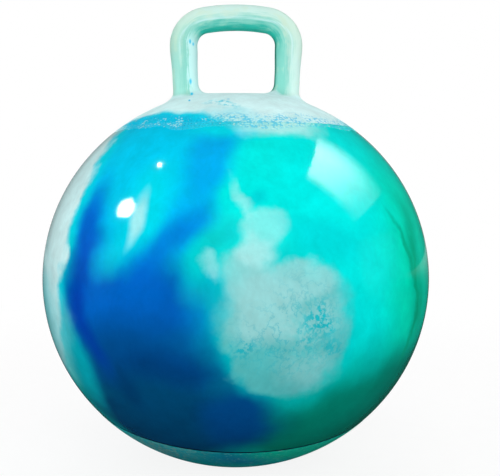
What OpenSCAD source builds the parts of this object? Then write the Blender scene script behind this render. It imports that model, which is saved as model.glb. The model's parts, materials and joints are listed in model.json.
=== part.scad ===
// Hopper ball: an inflated vinyl ball with a loop handle on top, a flat patch to rest on and a push-in air plug
// at the back. Lengths are millimetres and angles are degrees. +Z is up, +X runs across the handle and -Y is
// the front. The origin is the middle of the flat patch, on the floor.

/* [Ball] */
// Diameter at the equator
ball_d = 450; // [400:5:600]
// How much less the ball measures from top to bottom than across
ball_sag = 13; // [4:1:18]
// Thickness of the skin
skin_wall = 1.2; // [0.9:0.1:3]
// Diameter of the flat patch on the floor
rest_d = 84; // [50:2:120]
// Diameter of the ball at the shoulder line, where the stippled crown begins
shoulder_d = 270; // [240:2:310]
// Diameter of the ball at the moulding line near the floor
base_line_d = 300; // [220:2:340]
// Depth of the groove along the moulding line
groove_depth = 0.6; // [0.2:0.1:0.8]
// Width of the groove along the moulding line
groove_w = 1.6; // [0.6:0.1:3]

/* [Handle] */
// Diameter of the grip
grip_d = 31; // [25:1:36]
// Thickness of the handle's wall
grip_wall = 3.5; // [2:0.5:8]
// Distance between the legs' centres where they leave the crown
leg_spacing = 118; // [106:2:140]
// Outward lean of each leg
leg_lean = 2.7; // [0:0.1:6]
// Height of the handle above the saddle between its legs
handle_rise = 101; // [86:1:130]
// Radius of the corners, along the middle of the grip
corner_r = 26; // [20:1:34]
// How much fuller the grip is at its corners, in radius
corner_step = 0.1; // [0.1:0.1:0.5]
// Radius of the arched bar, along the middle of the grip
arch_r = 220; // [150:5:400]
// Radius of the hollow where the inside of each leg meets the saddle
hollow_r = 10; // [5:1:15]
// Width of that hollow, front to back
hollow_w = 22; // [10:1:24]
// Radius of the flare that spreads each leg into the crown
flare_r = 17; // [13:1:24]
// Depth of the flat saddle below the top of the ball
saddle_cut = 0.3; // [0.2:0.1:1]
// Width of the flat saddle between the legs, front to back
saddle_w = 20; // [10:1:28]

/* [Valve] */
// Angle of the valve from the vertical, towards the back
valve_angle = 55; // [48:1:66]
// Diameter of the air hole
air_hole_d = 9; // [7:0.5:11]
// Clearance of the plug's ribs in the air hole, all round
rib_gap = 0.05; // [0.02:0.01:0.1]
// Diameter of the plug's head
head_d = 20; // [16:1:24]
// Thickness of the plug's head
head_t = 2.4; // [1.6:0.1:3.5]
// Clearance round and under the plug's head
head_gap = 0.15; // [0.1:0.05:0.3]
// Length of the plug's stem below its head
stem_len = 17; // [13:1:24]
// Height of the sealing ribs above the stem
rib_h = 0.5; // [0.3:0.1:0.8]
// Number of sealing ribs
rib_count = 3; // [2:1:4]
// Thickness of the tube around the air hole
seat_wall = 4; // [2.5:0.5:6]
// Width of the seat's rim around the plug's head
seat_rim = 3; // [2:0.5:5]
// How far the seat's flange reaches past its rim, under the skin
flange_reach = 5; // [3:0.5:8]
// Thickness of the seat's flange
flange_t = 2.4; // [1.8:0.1:4]
// Clearance of the seat in the skin
seat_gap = 0.05; // [0.02:0.01:0.1]
// Width of the notch that a fingernail lifts the head by
notch_w = 7; // [5:0.5:10]

/* [Hidden] */
$fn = 96;

// The ball's upright section is one arc on each side, with its centre a little out from the axis.
arc_x = ball_sag / 2;
arc_r = (ball_d - ball_sag) / 2;
function arc_rise(d) = sqrt(arc_r * arc_r - pow(d / 2 - arc_x, 2));

// Heights
centre_z = arc_rise(rest_d);
top_z = centre_z + arc_r;
saddle_z = top_z - saddle_cut;
shoulder_z = centre_z + arc_rise(shoulder_d);
base_line_z = centre_z - arc_rise(base_line_d);

// The grip's centre line: a leaning leg, a corner and half of the arched bar, each tangent to the next
grip_r = grip_d / 2;
bore_r = grip_r - grip_wall;
leg_x = leg_spacing / 2;
arch_z = saddle_z + handle_rise - grip_r - arch_r;
leg_way = [sin(leg_lean), cos(leg_lean)];
leg_foot = [leg_x - corner_r * cos(leg_lean), saddle_z + corner_r * sin(leg_lean) - arch_z];
foot_along = leg_foot * leg_way;
leg_len = sqrt(foot_along * foot_along - leg_foot * leg_foot + pow(arch_r - corner_r, 2)) - foot_along;
corner_at = leg_foot + leg_len * leg_way + [0, arch_z];
arch_half = atan2(corner_at[0], corner_at[1] - arch_z);
corner_turn = 90 + leg_lean - arch_half;

// How far the bars run on into the corners, and how far a flare's arc turns before it goes on as a straight cone
overlap = 1;
crown_turn = 55;
hollow_turn = 75;
flare_steps = 10;

// The valve, measured from its axis and from the ball's outer surface
air_hole_r = air_hole_d / 2;
head_r = head_d / 2;
head_edge = head_t / 4;
rib_r = air_hole_r - rib_gap;
stem_r = rib_r - rib_h;
tip_r = stem_r - rib_h;
rib_pitch = stem_len / (rib_count + 1);
recess_r = head_r + head_gap;
recess_depth = head_t + head_gap;
rim_r = recess_r + seat_rim;
flange_r = rim_r + flange_reach;
flange_depth = skin_wall + seat_gap + flange_t;
seat_depth = recess_depth + stem_len;
tube_r = air_hole_r + seat_wall;

// Depth below the ball's surface, drawn in by inset, at a distance r from the valve's axis
function drop(inset, r) = arc_r - sqrt(pow(arc_r - inset, 2) - r * r);

// The right half of the ball's section between two heights, drawn in from the outer surface by inset
module ball_half(inset, low, high) {
    intersection() {
        translate([arc_x, centre_z]) circle(arc_r - inset);
        translate([0, low]) square([ball_d, high - low]);
    }
}

// Places a shape on the valve's axis, at a depth below the outer surface
module at_valve(depth = 0) {
    translate([0, arc_x, centre_z]) rotate([-valve_angle, 0, 0]) translate([0, 0, arc_r - depth]) children();
}

// Places a shape on the right leg's axis, with 0 at the saddle
module at_leg() {
    translate([leg_x, 0, saddle_z]) rotate([0, leg_lean, 0]) children();
}

module both_sides() {
    for (side = [0, 1]) mirror([side, 0, 0]) children();
}

module ball_skin() {
    color("deepskyblue") difference() {
        rotate_extrude() difference() {
            ball_half(0, base_line_z, shoulder_z);
            ball_half(skin_wall, base_line_z - 1, shoulder_z + 1);
        }
        at_valve(flange_depth) cylinder(r = rim_r + seat_gap, h = 2 * flange_depth);
    }
}

// The groove is square to the skin, just below the moulding line.
module base_skin() {
    turn = asin((base_line_d / 2 - arc_x) / arc_r) - atan(groove_w / arc_r);
    out = [sin(turn), -cos(turn)];
    along = [cos(turn), sin(turn)];
    middle = [arc_x, centre_z] + arc_r * out;
    color("teal") rotate_extrude() difference() {
        ball_half(0, 0, base_line_z);
        ball_half(skin_wall, skin_wall, base_line_z + 1);
        polygon([middle - groove_depth * out, middle + groove_depth * out - groove_w * along,
            middle + groove_depth * out + groove_w * along]);
    }
}

// A flare around a leg: an arc of radius r that starts at height top and turns outwards as it goes down, then a cone
module leg_flare(top, r, turn) {
    arc = [for (i = [0 : flare_steps]) let (at = i * turn / flare_steps)
        [grip_r + r * (1 - cos(at)), top - r * sin(at)]];
    cone_end = arc[flare_steps] + grip_d * [sin(turn), -cos(turn)];
    rotate_extrude() polygon(concat([[0, top + r], [grip_r - overlap, top + r]], arc, [cone_end, [0, cone_end[1]]]));
}

module crown_skin() {
    color("paleturquoise") difference() {
        union() {
            rotate_extrude() ball_half(0, shoulder_z, top_z + 1);
            both_sides() translate([leg_x, 0, saddle_z]) leg_flare(0, flare_r, crown_turn);
            translate([-leg_x, -saddle_w / 2, saddle_z - flare_r]) cube([leg_spacing, saddle_w, flare_r]);
        }
        rotate_extrude() ball_half(skin_wall, 0, saddle_z - skin_wall);
        translate([-ball_d / 2, -ball_d / 2, saddle_z]) cube(ball_d);
        both_sides() translate([leg_x, 0, centre_z]) cylinder(r = bore_r, h = ball_d);
    }
}

// A round bar of radius r along the whole of the grip's centre line, running on below the saddle
module grip_bar(r) {
    run_on = atan(overlap / arch_r);
    both_sides() {
        at_leg() translate([0, 0, -grip_d]) cylinder(r = r - corner_step, h = leg_len + overlap + grip_d);
        translate([corner_at[0], 0, corner_at[1]]) rotate([90, 0, 0]) rotate(-leg_lean)
            rotate_extrude(angle = corner_turn) translate([corner_r, 0]) circle(r);
    }
    translate([0, 0, arch_z]) rotate([90, 0, 0]) rotate(90 - arch_half - run_on)
        rotate_extrude(angle = 2 * (arch_half + run_on)) translate([arch_r, 0]) circle(r - corner_step);
}

// The hollow between the inside of the right leg and the saddle
module leg_hollow() {
    intersection() {
        at_leg() leg_flare(hollow_r, hollow_r, hollow_turn);
        translate([0, -hollow_w / 2, saddle_z - hollow_r]) cube([leg_x, hollow_w, 3 * hollow_r]);
    }
}

module handle_loop() {
    color("aquamarine") difference() {
        union() {
            grip_bar(grip_r);
            both_sides() leg_hollow();
        }
        grip_bar(bore_r);
        translate([-ball_d / 2, -ball_d / 2, saddle_z - ball_d]) cube(ball_d);
    }
}

// One turned profile: the recess for the head, the rim, the flange under the skin and the tube
module valve_seat() {
    color("lightcyan") difference() {
        at_valve() rotate_extrude() polygon([
            [air_hole_r, -recess_depth],
            [recess_r, -recess_depth],
            [recess_r, -drop(0, recess_r)],
            [rim_r, -drop(0, rim_r)],
            [rim_r, -drop(skin_wall + seat_gap, rim_r)],
            [flange_r, -drop(skin_wall + seat_gap, flange_r)],
            [flange_r, -flange_depth],
            [tube_r, -flange_depth],
            [tube_r, -seat_depth],
            [air_hole_r, -seat_depth],
        ]);
        at_valve(recess_depth) translate([-notch_w / 2, -rim_r - 1, 0]) cube([notch_w, rim_r, 2 * recess_depth]);
    }
}

module valve_plug() {
    head = [[0, head_t], [head_r - head_edge, head_t], [head_r, head_t - head_edge], [head_r, 0], [stem_r, 0]];
    ribs = [for (i = [1 : rib_count]) each
        [[stem_r, rib_h - i * rib_pitch], [rib_r, -i * rib_pitch], [stem_r, -rib_h - i * rib_pitch]]];
    tip = [[stem_r, 2 * rib_h - stem_len], [tip_r, -stem_len], [0, -stem_len]];
    color("ivory") at_valve(head_t) rotate_extrude() polygon(concat(head, ribs, tip));
}

ball_skin();
base_skin();
crown_skin();
handle_loop();
valve_seat();
valve_plug();
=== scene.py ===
"""Hopper ball: the looks of an inflated marbled ball with a loop handle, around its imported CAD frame.

Lengths are metres. +Z is up, +X runs across the handle, -Y is the front and the floor is z = 0.
"""

import json
import logging
import math
from dataclasses import dataclass
from enum import Enum
from functools import partial
from typing import Sequence, Union

import bpy
import numpy as np
from mathutils import Matrix, Vector


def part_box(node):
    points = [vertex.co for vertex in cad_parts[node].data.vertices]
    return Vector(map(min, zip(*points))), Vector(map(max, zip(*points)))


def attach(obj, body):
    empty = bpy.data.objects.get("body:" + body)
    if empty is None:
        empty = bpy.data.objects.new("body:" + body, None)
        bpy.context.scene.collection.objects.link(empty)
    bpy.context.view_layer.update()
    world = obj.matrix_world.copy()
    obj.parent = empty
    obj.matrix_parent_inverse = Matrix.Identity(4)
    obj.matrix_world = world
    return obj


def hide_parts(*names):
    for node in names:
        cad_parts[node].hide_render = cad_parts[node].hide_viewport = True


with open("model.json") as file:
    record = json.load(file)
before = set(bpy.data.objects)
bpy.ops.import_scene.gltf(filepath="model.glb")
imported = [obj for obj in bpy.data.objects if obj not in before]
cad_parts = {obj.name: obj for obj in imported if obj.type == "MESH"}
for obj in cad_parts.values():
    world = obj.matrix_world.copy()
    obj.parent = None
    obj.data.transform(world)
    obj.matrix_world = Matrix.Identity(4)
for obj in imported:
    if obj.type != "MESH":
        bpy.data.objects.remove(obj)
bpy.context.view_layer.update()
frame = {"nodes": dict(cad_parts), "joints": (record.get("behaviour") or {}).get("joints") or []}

Array = np.ndarray
Settings = dict[str, object]
LOG = logging.getLogger("hopper_ball")

BACK = np.array([0.0, 1.0, 0.0])
WHITE = (1.0, 1.0, 1.0, 1.0)


# Small sums used by several shapes


def smooth_step(values: Array, start: float, end: float) -> Array:
    """Eases from 0 at start to 1 at end: 3t^2 - 2t^3 of the clipped share t."""
    share = np.clip((values - start) / (end - start), 0.0, 1.0)
    return share * share * (3.0 - 2.0 * share)


def soft_min(first: Array, second: Array, reach: float) -> Array:
    """The smaller of two distances, with a round fillet where they are closer than reach.

    Args:
        first: Distances to one form.
        second: Distances to the other form.
        reach: How far the fillet runs along each form.

    Returns:
        min(a, b) - h^2 * reach / 4, where h is how much of reach the two distances leave.
    """
    share = np.maximum(reach - np.abs(first - second), 0.0) / reach
    return np.minimum(first, second) - share * share * reach / 4.0


def unit(vectors: Array) -> Array:
    """The same vectors at length 1."""
    return vectors / np.linalg.norm(vectors, axis=-1, keepdims=True)


def heading(turn: float, tilt: float) -> Vector:
    """The way from the ball's middle, in degrees round from the front, plus to the right, and degrees up."""
    around, up = math.radians(turn), math.radians(tilt)
    return Vector((math.sin(around) * math.cos(up), -math.cos(around) * math.cos(up), math.sin(up)))


def upright(flat: Array) -> Array:
    """Places or ways in X and Z as ones in X, Y and Z."""
    return np.insert(flat, 1, 0.0, axis=-1)


def both_ways(half: Array, flip: Union[float, Array] = 1.0) -> Array:
    """A half path behind its mirror image, which is the half run backwards to its second row, times flip."""
    return np.concatenate([half[:0:-1] * flip, half])


def rim_shares(last: float, count: int) -> Array:
    """Even shares from 0 to last, then 1: the narrow last row keeps the shading true up to a rim."""
    return np.append(np.linspace(0.0, last, count), 1.0)


def lines_between(first: Array, second: Array, shares: Array) -> Array:
    """Straight lines from one loop to another, a row for each share t: (1 - t) * first + t * second."""
    share = shares[:, None, None]
    return (1.0 - share) * first + share * second


def parabola(start: Array, corner: Array, end: Array, share: Array) -> Array:
    """A curve drawn towards a corner: (1 - t)^2 * start + 2 t (1 - t) * corner + t^2 * end."""
    left = 1.0 - share
    return left ** 2 * start + 2.0 * share * left * corner + share ** 2 * end


def loop_of(columns: Array, rows: Array) -> Array:
    """Walks once round the edge of a rectangle of grid lines.

    Args:
        columns: Grid lines across, lowest first.
        rows: Grid lines up, lowest first.

    Returns:
        (column, row) pairs anticlockwise from the lower left corner, each corner once.
    """
    low, high = np.full(len(columns) - 1, rows[0]), np.full(len(columns) - 1, rows[-1])
    left, right = np.full(len(rows) - 1, columns[0]), np.full(len(rows) - 1, columns[-1])
    across = np.concatenate([columns[:-1], right, columns[:0:-1], left])
    upward = np.concatenate([low, rows[:-1], high, rows[:0:-1]])
    return np.stack([across, upward], axis=-1)


@dataclass
class Sheet:
    """Points and four-sided faces of a surface; faces at the end of the list may be its sharp rim.

    Attributes:
        points: Places, one row each.
        faces: Four point numbers a row, anticlockwise from outside.
        sharp: How many faces at the end of the list are flat-shaded.
    """

    points: Array
    faces: Array
    sharp: int = 0

    @staticmethod
    def grid(points: Array, wrap: bool = False) -> "Sheet":
        """Faces a grid of points.

        Args:
            points: Places by row and column.
            wrap: Whether the last column joins the first.

        Returns:
            The sheet, facing the side from which columns run right and rows run up.
        """
        rows, columns = points.shape[:2]
        row, column = np.meshgrid(np.arange(rows - 1), np.arange(columns - (not wrap)), indexing="ij")
        start, after = row * columns + column, row * columns + (column + 1) % columns
        faces = np.stack([start, after, after + columns, start + columns], axis=-1)
        return Sheet(points.reshape(-1, 3), faces.reshape(-1, 4))

    @staticmethod
    def join(parts: Sequence["Sheet"]) -> "Sheet":
        """Puts sheets together and merges the points that they share, to a millionth of a metre."""
        points = np.concatenate([part.points for part in parts])
        starts = np.cumsum([0] + [len(part.points) for part in parts[:-1]])
        faces = np.concatenate([part.faces + start for part, start in zip(parts, starts)])
        _, first, merged = np.unique(np.round(points, 6), axis=0, return_index=True, return_inverse=True)
        return Sheet(points[first], merged.reshape(-1)[faces])

    def without(self, holes: Array) -> "Sheet":
        """The same sheet less the faces marked in holes and the points that only they use."""
        used, faces = np.unique(self.faces[~holes.reshape(-1)], return_inverse=True)
        return Sheet(self.points[used], faces.reshape(-1, 4))

    def middles(self) -> Array:
        """The middle of each face."""
        return self.points[self.faces].mean(axis=1)

    def turned_over(self) -> "Sheet":
        """The same sheet facing the other way."""
        return Sheet(self.points, self.faces[:, ::-1], self.sharp)

    def mirrored(self) -> "Sheet":
        """The sheet's twin across the plane x = 0, still facing outwards."""
        return Sheet(self.points * [-1.0, 1.0, 1.0], self.faces[:, ::-1])

    def normals(self) -> Array:
        """Unit normals at the points: the sum of the crossed diagonals of the faces that meet there."""
        corner = self.points[self.faces]
        crossed = np.cross(corner[:, 2] - corner[:, 0], corner[:, 3] - corner[:, 1])
        total = np.zeros_like(self.points)
        np.add.at(total, self.faces, crossed[:, None, :])
        return unit(total)

    def walled(self, wall: float) -> "Sheet":
        """Closes the sheet into a shell.

        Args:
            wall: Thickness, measured inwards along the normals.

        Returns:
            The outer faces, the inner ones turned over, and a sharp rim along each open edge.
        """
        count = len(self.points)
        start, end = self.faces.reshape(-1), np.roll(self.faces, -1, axis=1).reshape(-1)
        is_open = ~np.isin(start * count + end, end * count + start)
        first, second = start[is_open], end[is_open]
        rim = np.stack([second, first, first + count, second + count], axis=-1)
        points = np.concatenate([self.points, self.points - wall * self.normals()])
        faces = np.concatenate([self.faces, self.faces[:, ::-1] + count, rim])
        return Sheet(points, faces, len(rim))


def add_object(name: str, data: bpy.types.ID) -> bpy.types.Object:
    """Adds an object to the scene, at the origin."""
    made = bpy.data.objects.new(name, data)
    bpy.context.scene.collection.objects.link(made)
    return made


def make_piece(sheet: Sheet, name: str, body: str, finish: "Finish") -> bpy.types.Object:
    """Makes a finished piece from a sheet, riding on a body and standing for the node of the same name.

    Args:
        sheet: The piece's surface.
        name: The CAD node's name, which the piece takes over with a suffix.
        body: The CAD body that carries it.
        finish: The piece's finish, which has the name of the record's material slot.

    Returns:
        The new object.
    """
    mesh = bpy.data.meshes.new(name + "_looks")
    mesh.vertices.add(len(sheet.points))
    mesh.vertices.foreach_set("co", sheet.points.astype(np.float32).reshape(-1))
    mesh.loops.add(sheet.faces.size)
    mesh.loops.foreach_set("vertex_index", sheet.faces.astype(np.int32).reshape(-1))
    mesh.polygons.add(len(sheet.faces))
    mesh.polygons.foreach_set("loop_start", np.arange(0, sheet.faces.size, 4, dtype=np.int32))
    smooth = np.arange(len(sheet.faces)) < len(sheet.faces) - sheet.sharp
    mesh.polygons.foreach_set("use_smooth", smooth)
    mesh.update(calc_edges=True)
    mesh.validate()
    mesh.materials.append(finish.material())
    piece = add_object(name + "_looks", mesh)
    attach(piece, body)
    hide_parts(name)
    LOG.info("%s: %d faces on body %s", piece.name, len(sheet.faces), body)
    return piece


def add_place(piece: bpy.types.Object, name: str, values: Array) -> None:
    """Stores vectors at a shell's outer points and at the inner points under them, for its finish to read."""
    places = piece.data.attributes.new(name, "FLOAT_VECTOR", "POINT")
    places.data.foreach_set("vector", np.tile(values, (2, 1)).astype(np.float32).reshape(-1))


# Shader nodes


class Tint(Enum):
    """The vinyl's colours and those of painted light and shade, as screen values from 0 to 255."""

    TURQUOISE = (0, 226, 220)
    AQUA = (0, 212, 230)
    SKY = (0, 196, 232)
    AZURE = (0, 168, 230)
    PIT = (0, 198, 230)
    ROYAL = (0, 104, 206)
    MARINE = (0, 94, 186)
    COBALT = (0, 54, 172)
    DEEP_WATER = (0, 78, 146)
    ABYSS = (0, 76, 122)
    INK = (0, 50, 104)
    TEAL = (0, 198, 200)
    LAGOON = (0, 178, 194)
    SEA_GREEN = (0, 216, 182)
    PINE = (0, 166, 128)
    FOREST = (0, 138, 118)
    MIST = (150, 212, 212)
    LOW_MIST = (88, 192, 194)
    PALE_SEA = (140, 234, 240)
    FOAM = (190, 240, 238)
    SHELL = (210, 246, 247)
    CROWN = (214, 248, 249)
    MINT = (136, 214, 200)
    PALE_MINT = (203, 236, 228)
    STRAW = (200, 226, 200)
    JADE = (50, 190, 172)
    DEEP_TEAL = (0, 136, 118)
    SAND = (168, 192, 172)
    # Painted shade in the groove at the moulding line
    GROOVE_SHADE = (0, 26, 48)
    IVORY = (228, 230, 222)
    DUST = (196, 200, 190)

    @property
    def linear(self) -> tuple[float, float, float, float]:
        """The colour as linear light, with full alpha."""
        share = np.array(self.value) / 255.0
        light = np.where(share <= 0.04045, share / 12.92, ((share + 0.055) / 1.055) ** 2.4)
        return (*light.tolist(), 1.0)


Plug = Union["Value", float, tuple, Vector]


class Value:
    """A node's output socket, with arithmetic that adds Math nodes."""

    def __init__(self, graph: "Graph", socket: bpy.types.NodeSocket) -> None:
        """Keeps the graph that the socket belongs to."""
        self.graph = graph
        self.socket = socket

    def _math(self, operation: str, first: Plug, second: Plug = 0.0) -> "Value":
        """Adds one Math node."""
        return self.graph.node("ShaderNodeMath", {"operation": operation}, {0: first, 1: second})

    def __add__(self, other: Plug) -> "Value":
        """self + other."""
        return self._math("ADD", self, other)

    def __radd__(self, other: Plug) -> "Value":
        """other + self."""
        return self._math("ADD", other, self)

    def __sub__(self, other: Plug) -> "Value":
        """self - other."""
        return self._math("SUBTRACT", self, other)

    def __rsub__(self, other: Plug) -> "Value":
        """other - self."""
        return self._math("SUBTRACT", other, self)

    def __mul__(self, other: Plug) -> "Value":
        """self * other."""
        return self._math("MULTIPLY", self, other)

    def __rmul__(self, other: Plug) -> "Value":
        """other * self."""
        return self._math("MULTIPLY", other, self)

    def __abs__(self) -> "Value":
        """The size of self without its sign."""
        return self._math("ABSOLUTE", self)

    def larger(self, other: Plug) -> "Value":
        """The larger of self and other."""
        return self._math("MAXIMUM", self, other)

    def step(self, start: float, end: float) -> "Value":
        """Eases from 0 where self is start to 1 where it is end."""
        low, high = sorted((start, end))
        sockets = {0: self, 1: low, 2: high, 3: float(start > end), 4: float(start < end)}
        return self.graph.node("ShaderNodeMapRange", {"interpolation_type": "SMOOTHSTEP"}, sockets)

    def part(self, axis: str) -> "Value":
        """One of a vector's X, Y or Z."""
        return self.graph.node("ShaderNodeSeparateXYZ", {}, {0: self}, axis)


class Graph:
    """The nodes of one material or of the world."""

    def __init__(self, tree: bpy.types.NodeTree) -> None:
        """Empties the tree."""
        self.tree = tree
        tree.nodes.clear()

    @staticmethod
    def material(name: str) -> tuple[bpy.types.Material, "Graph"]:
        """A new material and its graph."""
        made = bpy.data.materials.new(name)
        made.use_nodes = True
        return made, Graph(made.node_tree)

    def node(self, kind: str, settings: Settings, sockets: dict, output: Union[str, int] = 0) -> Value:
        """Adds a node.

        Args:
            kind: Blender's node type.
            settings: Properties of the node, set before its sockets.
            sockets: Values or links by socket name or number.
            output: Name or number of the output to hand back.

        Returns:
            The chosen output.
        """
        made = self.tree.nodes.new(kind)
        for name, value in settings.items():
            setattr(made, name, value)
        for name, value in sockets.items():
            if isinstance(value, Value):
                self.tree.links.new(value.socket, made.inputs[name])
            else:
                made.inputs[name].default_value = value
        return Value(self, made.outputs[output])

    def place(self) -> Value:
        """Object coordinates."""
        return self.node("ShaderNodeTexCoord", {}, {}, "Object")

    def attribute(self, name: str) -> Value:
        """A vector stored at the piece's points."""
        return self.node("ShaderNodeAttribute", {"attribute_name": name}, {}, "Vector")

    def vector(self, operation: str, first: Plug, second: Plug = (0.0, 0.0, 0.0)) -> Value:
        """Adds one Vector Math node."""
        return self.node("ShaderNodeVectorMath", {"operation": operation}, {0: first, 1: second})

    def scaled(self, vector: Value, factor: Plug) -> Value:
        """A vector times a number."""
        return self.node("ShaderNodeVectorMath", {"operation": "SCALE"}, {0: vector, "Scale": factor})

    def length(self, vector: Value) -> Value:
        """A vector's length."""
        return self.node("ShaderNodeVectorMath", {"operation": "LENGTH"}, {0: vector}, "Value")

    def ray(self, kind: str) -> Value:
        """1 for rays of one kind, such as Is Camera Ray, and 0 for others."""
        return self.node("ShaderNodeLightPath", {}, {}, kind)

    def blend(self, under: Plug, over: Plug, share: Plug) -> Value:
        """One colour laid over another by a share from 0 to 1."""
        settings = {"data_type": "RGBA", "clamp_factor": True}
        return self.node("ShaderNodeMix", settings, {0: share, 6: under, 7: over}, 2)

    def noise(
        self, place: Value, scale: float, detail: float = 2.0, rough: float = 0.5, shift: float = 0.0,
        output: str = "Fac",
    ) -> Value:
        """Cloudy noise.

        Args:
            place: Where the surface is.
            scale: Waves in a unit of place.
            detail: Number of finer waves laid over the first.
            rough: How strong each finer wave is against the last.
            shift: How far the pattern is moved.
            output: Fac for one value, or Color for three that differ.

        Returns:
            Values from about 0.3 to 0.7.
        """
        moved = self.vector("ADD", place, (shift, shift * 0.7, -shift)) if shift else place
        sockets = {"Vector": moved, "Scale": scale, "Detail": detail, "Roughness": rough}
        return self.node("ShaderNodeTexNoise", {"noise_dimensions": "3D"}, sockets, output)

    def cells(self, place: Value, scale: float, randomness: float = 1.0) -> Value:
        """Distance from the nearest of scattered points, in cell sizes."""
        sockets = {"Vector": place, "Scale": scale, "Randomness": randomness}
        return self.node("ShaderNodeTexVoronoi", {"feature": "F1"}, sockets, "Distance")

    def warped(
        self, place: Value, scale: float, amount: float, detail: float = 1.0, shift: float = 0.0
    ) -> Value:
        """Pushes a place about by noise.

        Args:
            place: Where the surface is.
            scale: Waves of the noise in a unit of place.
            amount: How strong the push is.
            detail: Number of finer waves.
            shift: How far the noise's pattern is moved.

        Returns:
            place + amount * (noise - 1/2).
        """
        push = self.noise(place, scale, detail, shift=shift, output="Color")
        centred = self.vector("SUBTRACT", push, (0.5, 0.5, 0.5))
        return self.vector("ADD", place, self.scaled(centred, amount))

    def oval(
        self, place: Value, middle: Plug, turn: Plug, size: tuple[float, ...], border: tuple[float, float]
    ) -> Value:
        """Where an oval lies.

        One node holds its own mapping, because a Mapping node for each oval would fill the shader's memory.

        Args:
            place: Where the surface is.
            middle: The oval's middle.
            turn: Its turn, as three angles in radians.
            size: Half sizes along its own axes.
            border: Where its border begins, outside, and ends, inside, in half sizes.

        Returns:
            The share of cover, which eases from 0 to 1 over the border.
        """
        outer, inner = border
        hill = self.node("ShaderNodeTexGradient", {"gradient_type": "SPHERICAL"}, {"Vector": place}, "Fac")
        mapping = hill.socket.node.texture_mapping
        mapping.vector_type = "TEXTURE"
        mapping.translation, mapping.rotation = middle, turn
        mapping.scale = [half * outer for half in size]
        return hill.step(0.0, 1.0 - inner / outer)

    def bump(self, height: Value) -> Value:
        """Normals from a height in metres."""
        return self.node("ShaderNodeBump", {}, {"Height": height, "Distance": 1.0, "Strength": 1.0})

    def show(self, surface: Value, kind: str = "ShaderNodeOutputMaterial") -> None:
        """Links a surface to a new output node."""
        made = self.tree.nodes.new(kind)
        self.tree.links.new(surface.socket, made.inputs["Surface"])


# The marbled colours


class Edge(Enum):
    """How a pour's border runs: scale, amount and detail of the noise that pushes it about.

    A broken pour is only specks, and a cracked one only thin lines.
    """

    FLOWING = (2.4, 0.2, 3.0)
    RAGGED = (6.0, 0.2, 6.0)
    BROKEN = (9.0, 0.14, 5.0)
    CRACKED = (5.0, 0.1, 4.0)


@dataclass(frozen=True)
class Pour:
    """One pool of colour in the marbling, an oval on the ball seen from its middle.

    Attributes:
        tint: The colour.
        turn: Degrees round the ball from the front, plus to the right.
        tilt: Degrees above the ball's middle.
        length: Half length in degrees.
        width: Half width in degrees.
        lean: Degrees by which the top of the long way leans to the right.
        soft: Width of the border, as a share of the size.
        amount: How much of what lies under it is covered.
        edge: How its border runs.
        depth: Half its depth along the way out, in sizes of the ball.
    """

    tint: Tint
    turn: float
    tilt: float
    length: float
    width: float
    lean: float = 0.0
    soft: float = 0.4
    amount: float = 1.0
    edge: Edge = Edge.FLOWING
    depth: float = 0.9

    def axes(self) -> Matrix:
        """Columns: the long way, the short way and the direction to the middle of the pour."""
        turn, lean = math.radians(self.turn), math.radians(self.lean)
        out = heading(self.turn, self.tilt)
        right = Vector((math.cos(turn), math.sin(turn), 0.0))
        along = out.cross(right) * math.cos(lean) + right * math.sin(lean)
        return Matrix((along, out.cross(along), out)).transposed()

    def mask(self, graph: Graph, direction: Value) -> Value:
        """Where the pour lies.

        Args:
            graph: The finish's nodes.
            direction: Direction from the ball's middle, already warped for the edge.

        Returns:
            The share of cover.
        """
        axes = self.axes()
        size = (math.radians(self.length), math.radians(self.width), self.depth)
        border = (1.0 + self.soft, max(1.0 - self.soft, 0.0))
        cover = graph.oval(direction, axes.col[2], axes.to_euler(), size, border)
        return cover if self.amount == 1.0 else cover * self.amount


@dataclass(frozen=True)
class Marbling:
    """Pools of colour laid one over the next, in the ball's own directions.

    Attributes:
        ground: The colour under all pours.
        pours: The pours, lowest first.
        middle: The ball's middle.
        apart: How far apart in the noise the kinds of edge lie.
        speck_scale: Noise waves of the specks in broken pours, in a unit of direction.
        crack_scale: The same of the lines in cracked pours.
        wisp_scale: The same of the wisps over all pours.
        fibre_scale: The same of the fine fibres over all pours.
    """

    ground: Tint
    pours: tuple[Pour, ...]
    middle: tuple[float, float, float]
    apart: float = 3.0
    speck_scale: float = 42.0
    crack_scale: float = 15.0
    wisp_scale: float = 8.0
    fibre_scale: float = 46.0

    def direction(self, graph: Graph) -> Value:
        """Unit direction from the ball's middle."""
        return graph.vector("NORMALIZE", graph.vector("SUBTRACT", graph.place(), self.middle))

    def colour(self, graph: Graph) -> Value:
        """The marbled colour: each pour over the last, then faint wisps over all."""
        direction = self.direction(graph)
        warped = {
            edge: graph.warped(direction, *edge.value, shift=self.apart * number)
            for number, edge in enumerate(Edge)
        }
        specks = graph.noise(direction, self.speck_scale, detail=4.0, rough=0.6).step(0.46, 0.56)
        cracks = graph.noise(warped[Edge.CRACKED], self.crack_scale, detail=5.0, rough=0.6)
        patterns = {Edge.BROKEN: specks, Edge.CRACKED: abs(cracks - 0.5).step(0.03, 0.004)}
        colour: Plug = self.ground.linear
        for pour in self.pours:
            cover = pour.mask(graph, warped[pour.edge])
            if pour.edge in patterns:
                cover = cover * patterns[pour.edge]
            colour = graph.blend(colour, pour.tint.linear, cover)
        wisps = graph.noise(warped[Edge.FLOWING], self.wisp_scale, detail=7.0, rough=0.62)
        upward = graph.vector("MULTIPLY", warped[Edge.RAGGED], (1.0, 1.0, 0.4))
        fibres = graph.noise(upward, self.fibre_scale, detail=3.0)
        return graph.scaled(colour, 0.7 + 0.46 * wisps + 0.14 * fibres)


ragged, broken, cracked = (partial(Pour, edge=edge) for edge in (Edge.RAGGED, Edge.BROKEN, Edge.CRACKED))

# Low on the ball the dark tints (deep water, abyss, forest) are partly the vinyl's own colour and partly
# painted shade, darker towards the floor.
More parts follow.
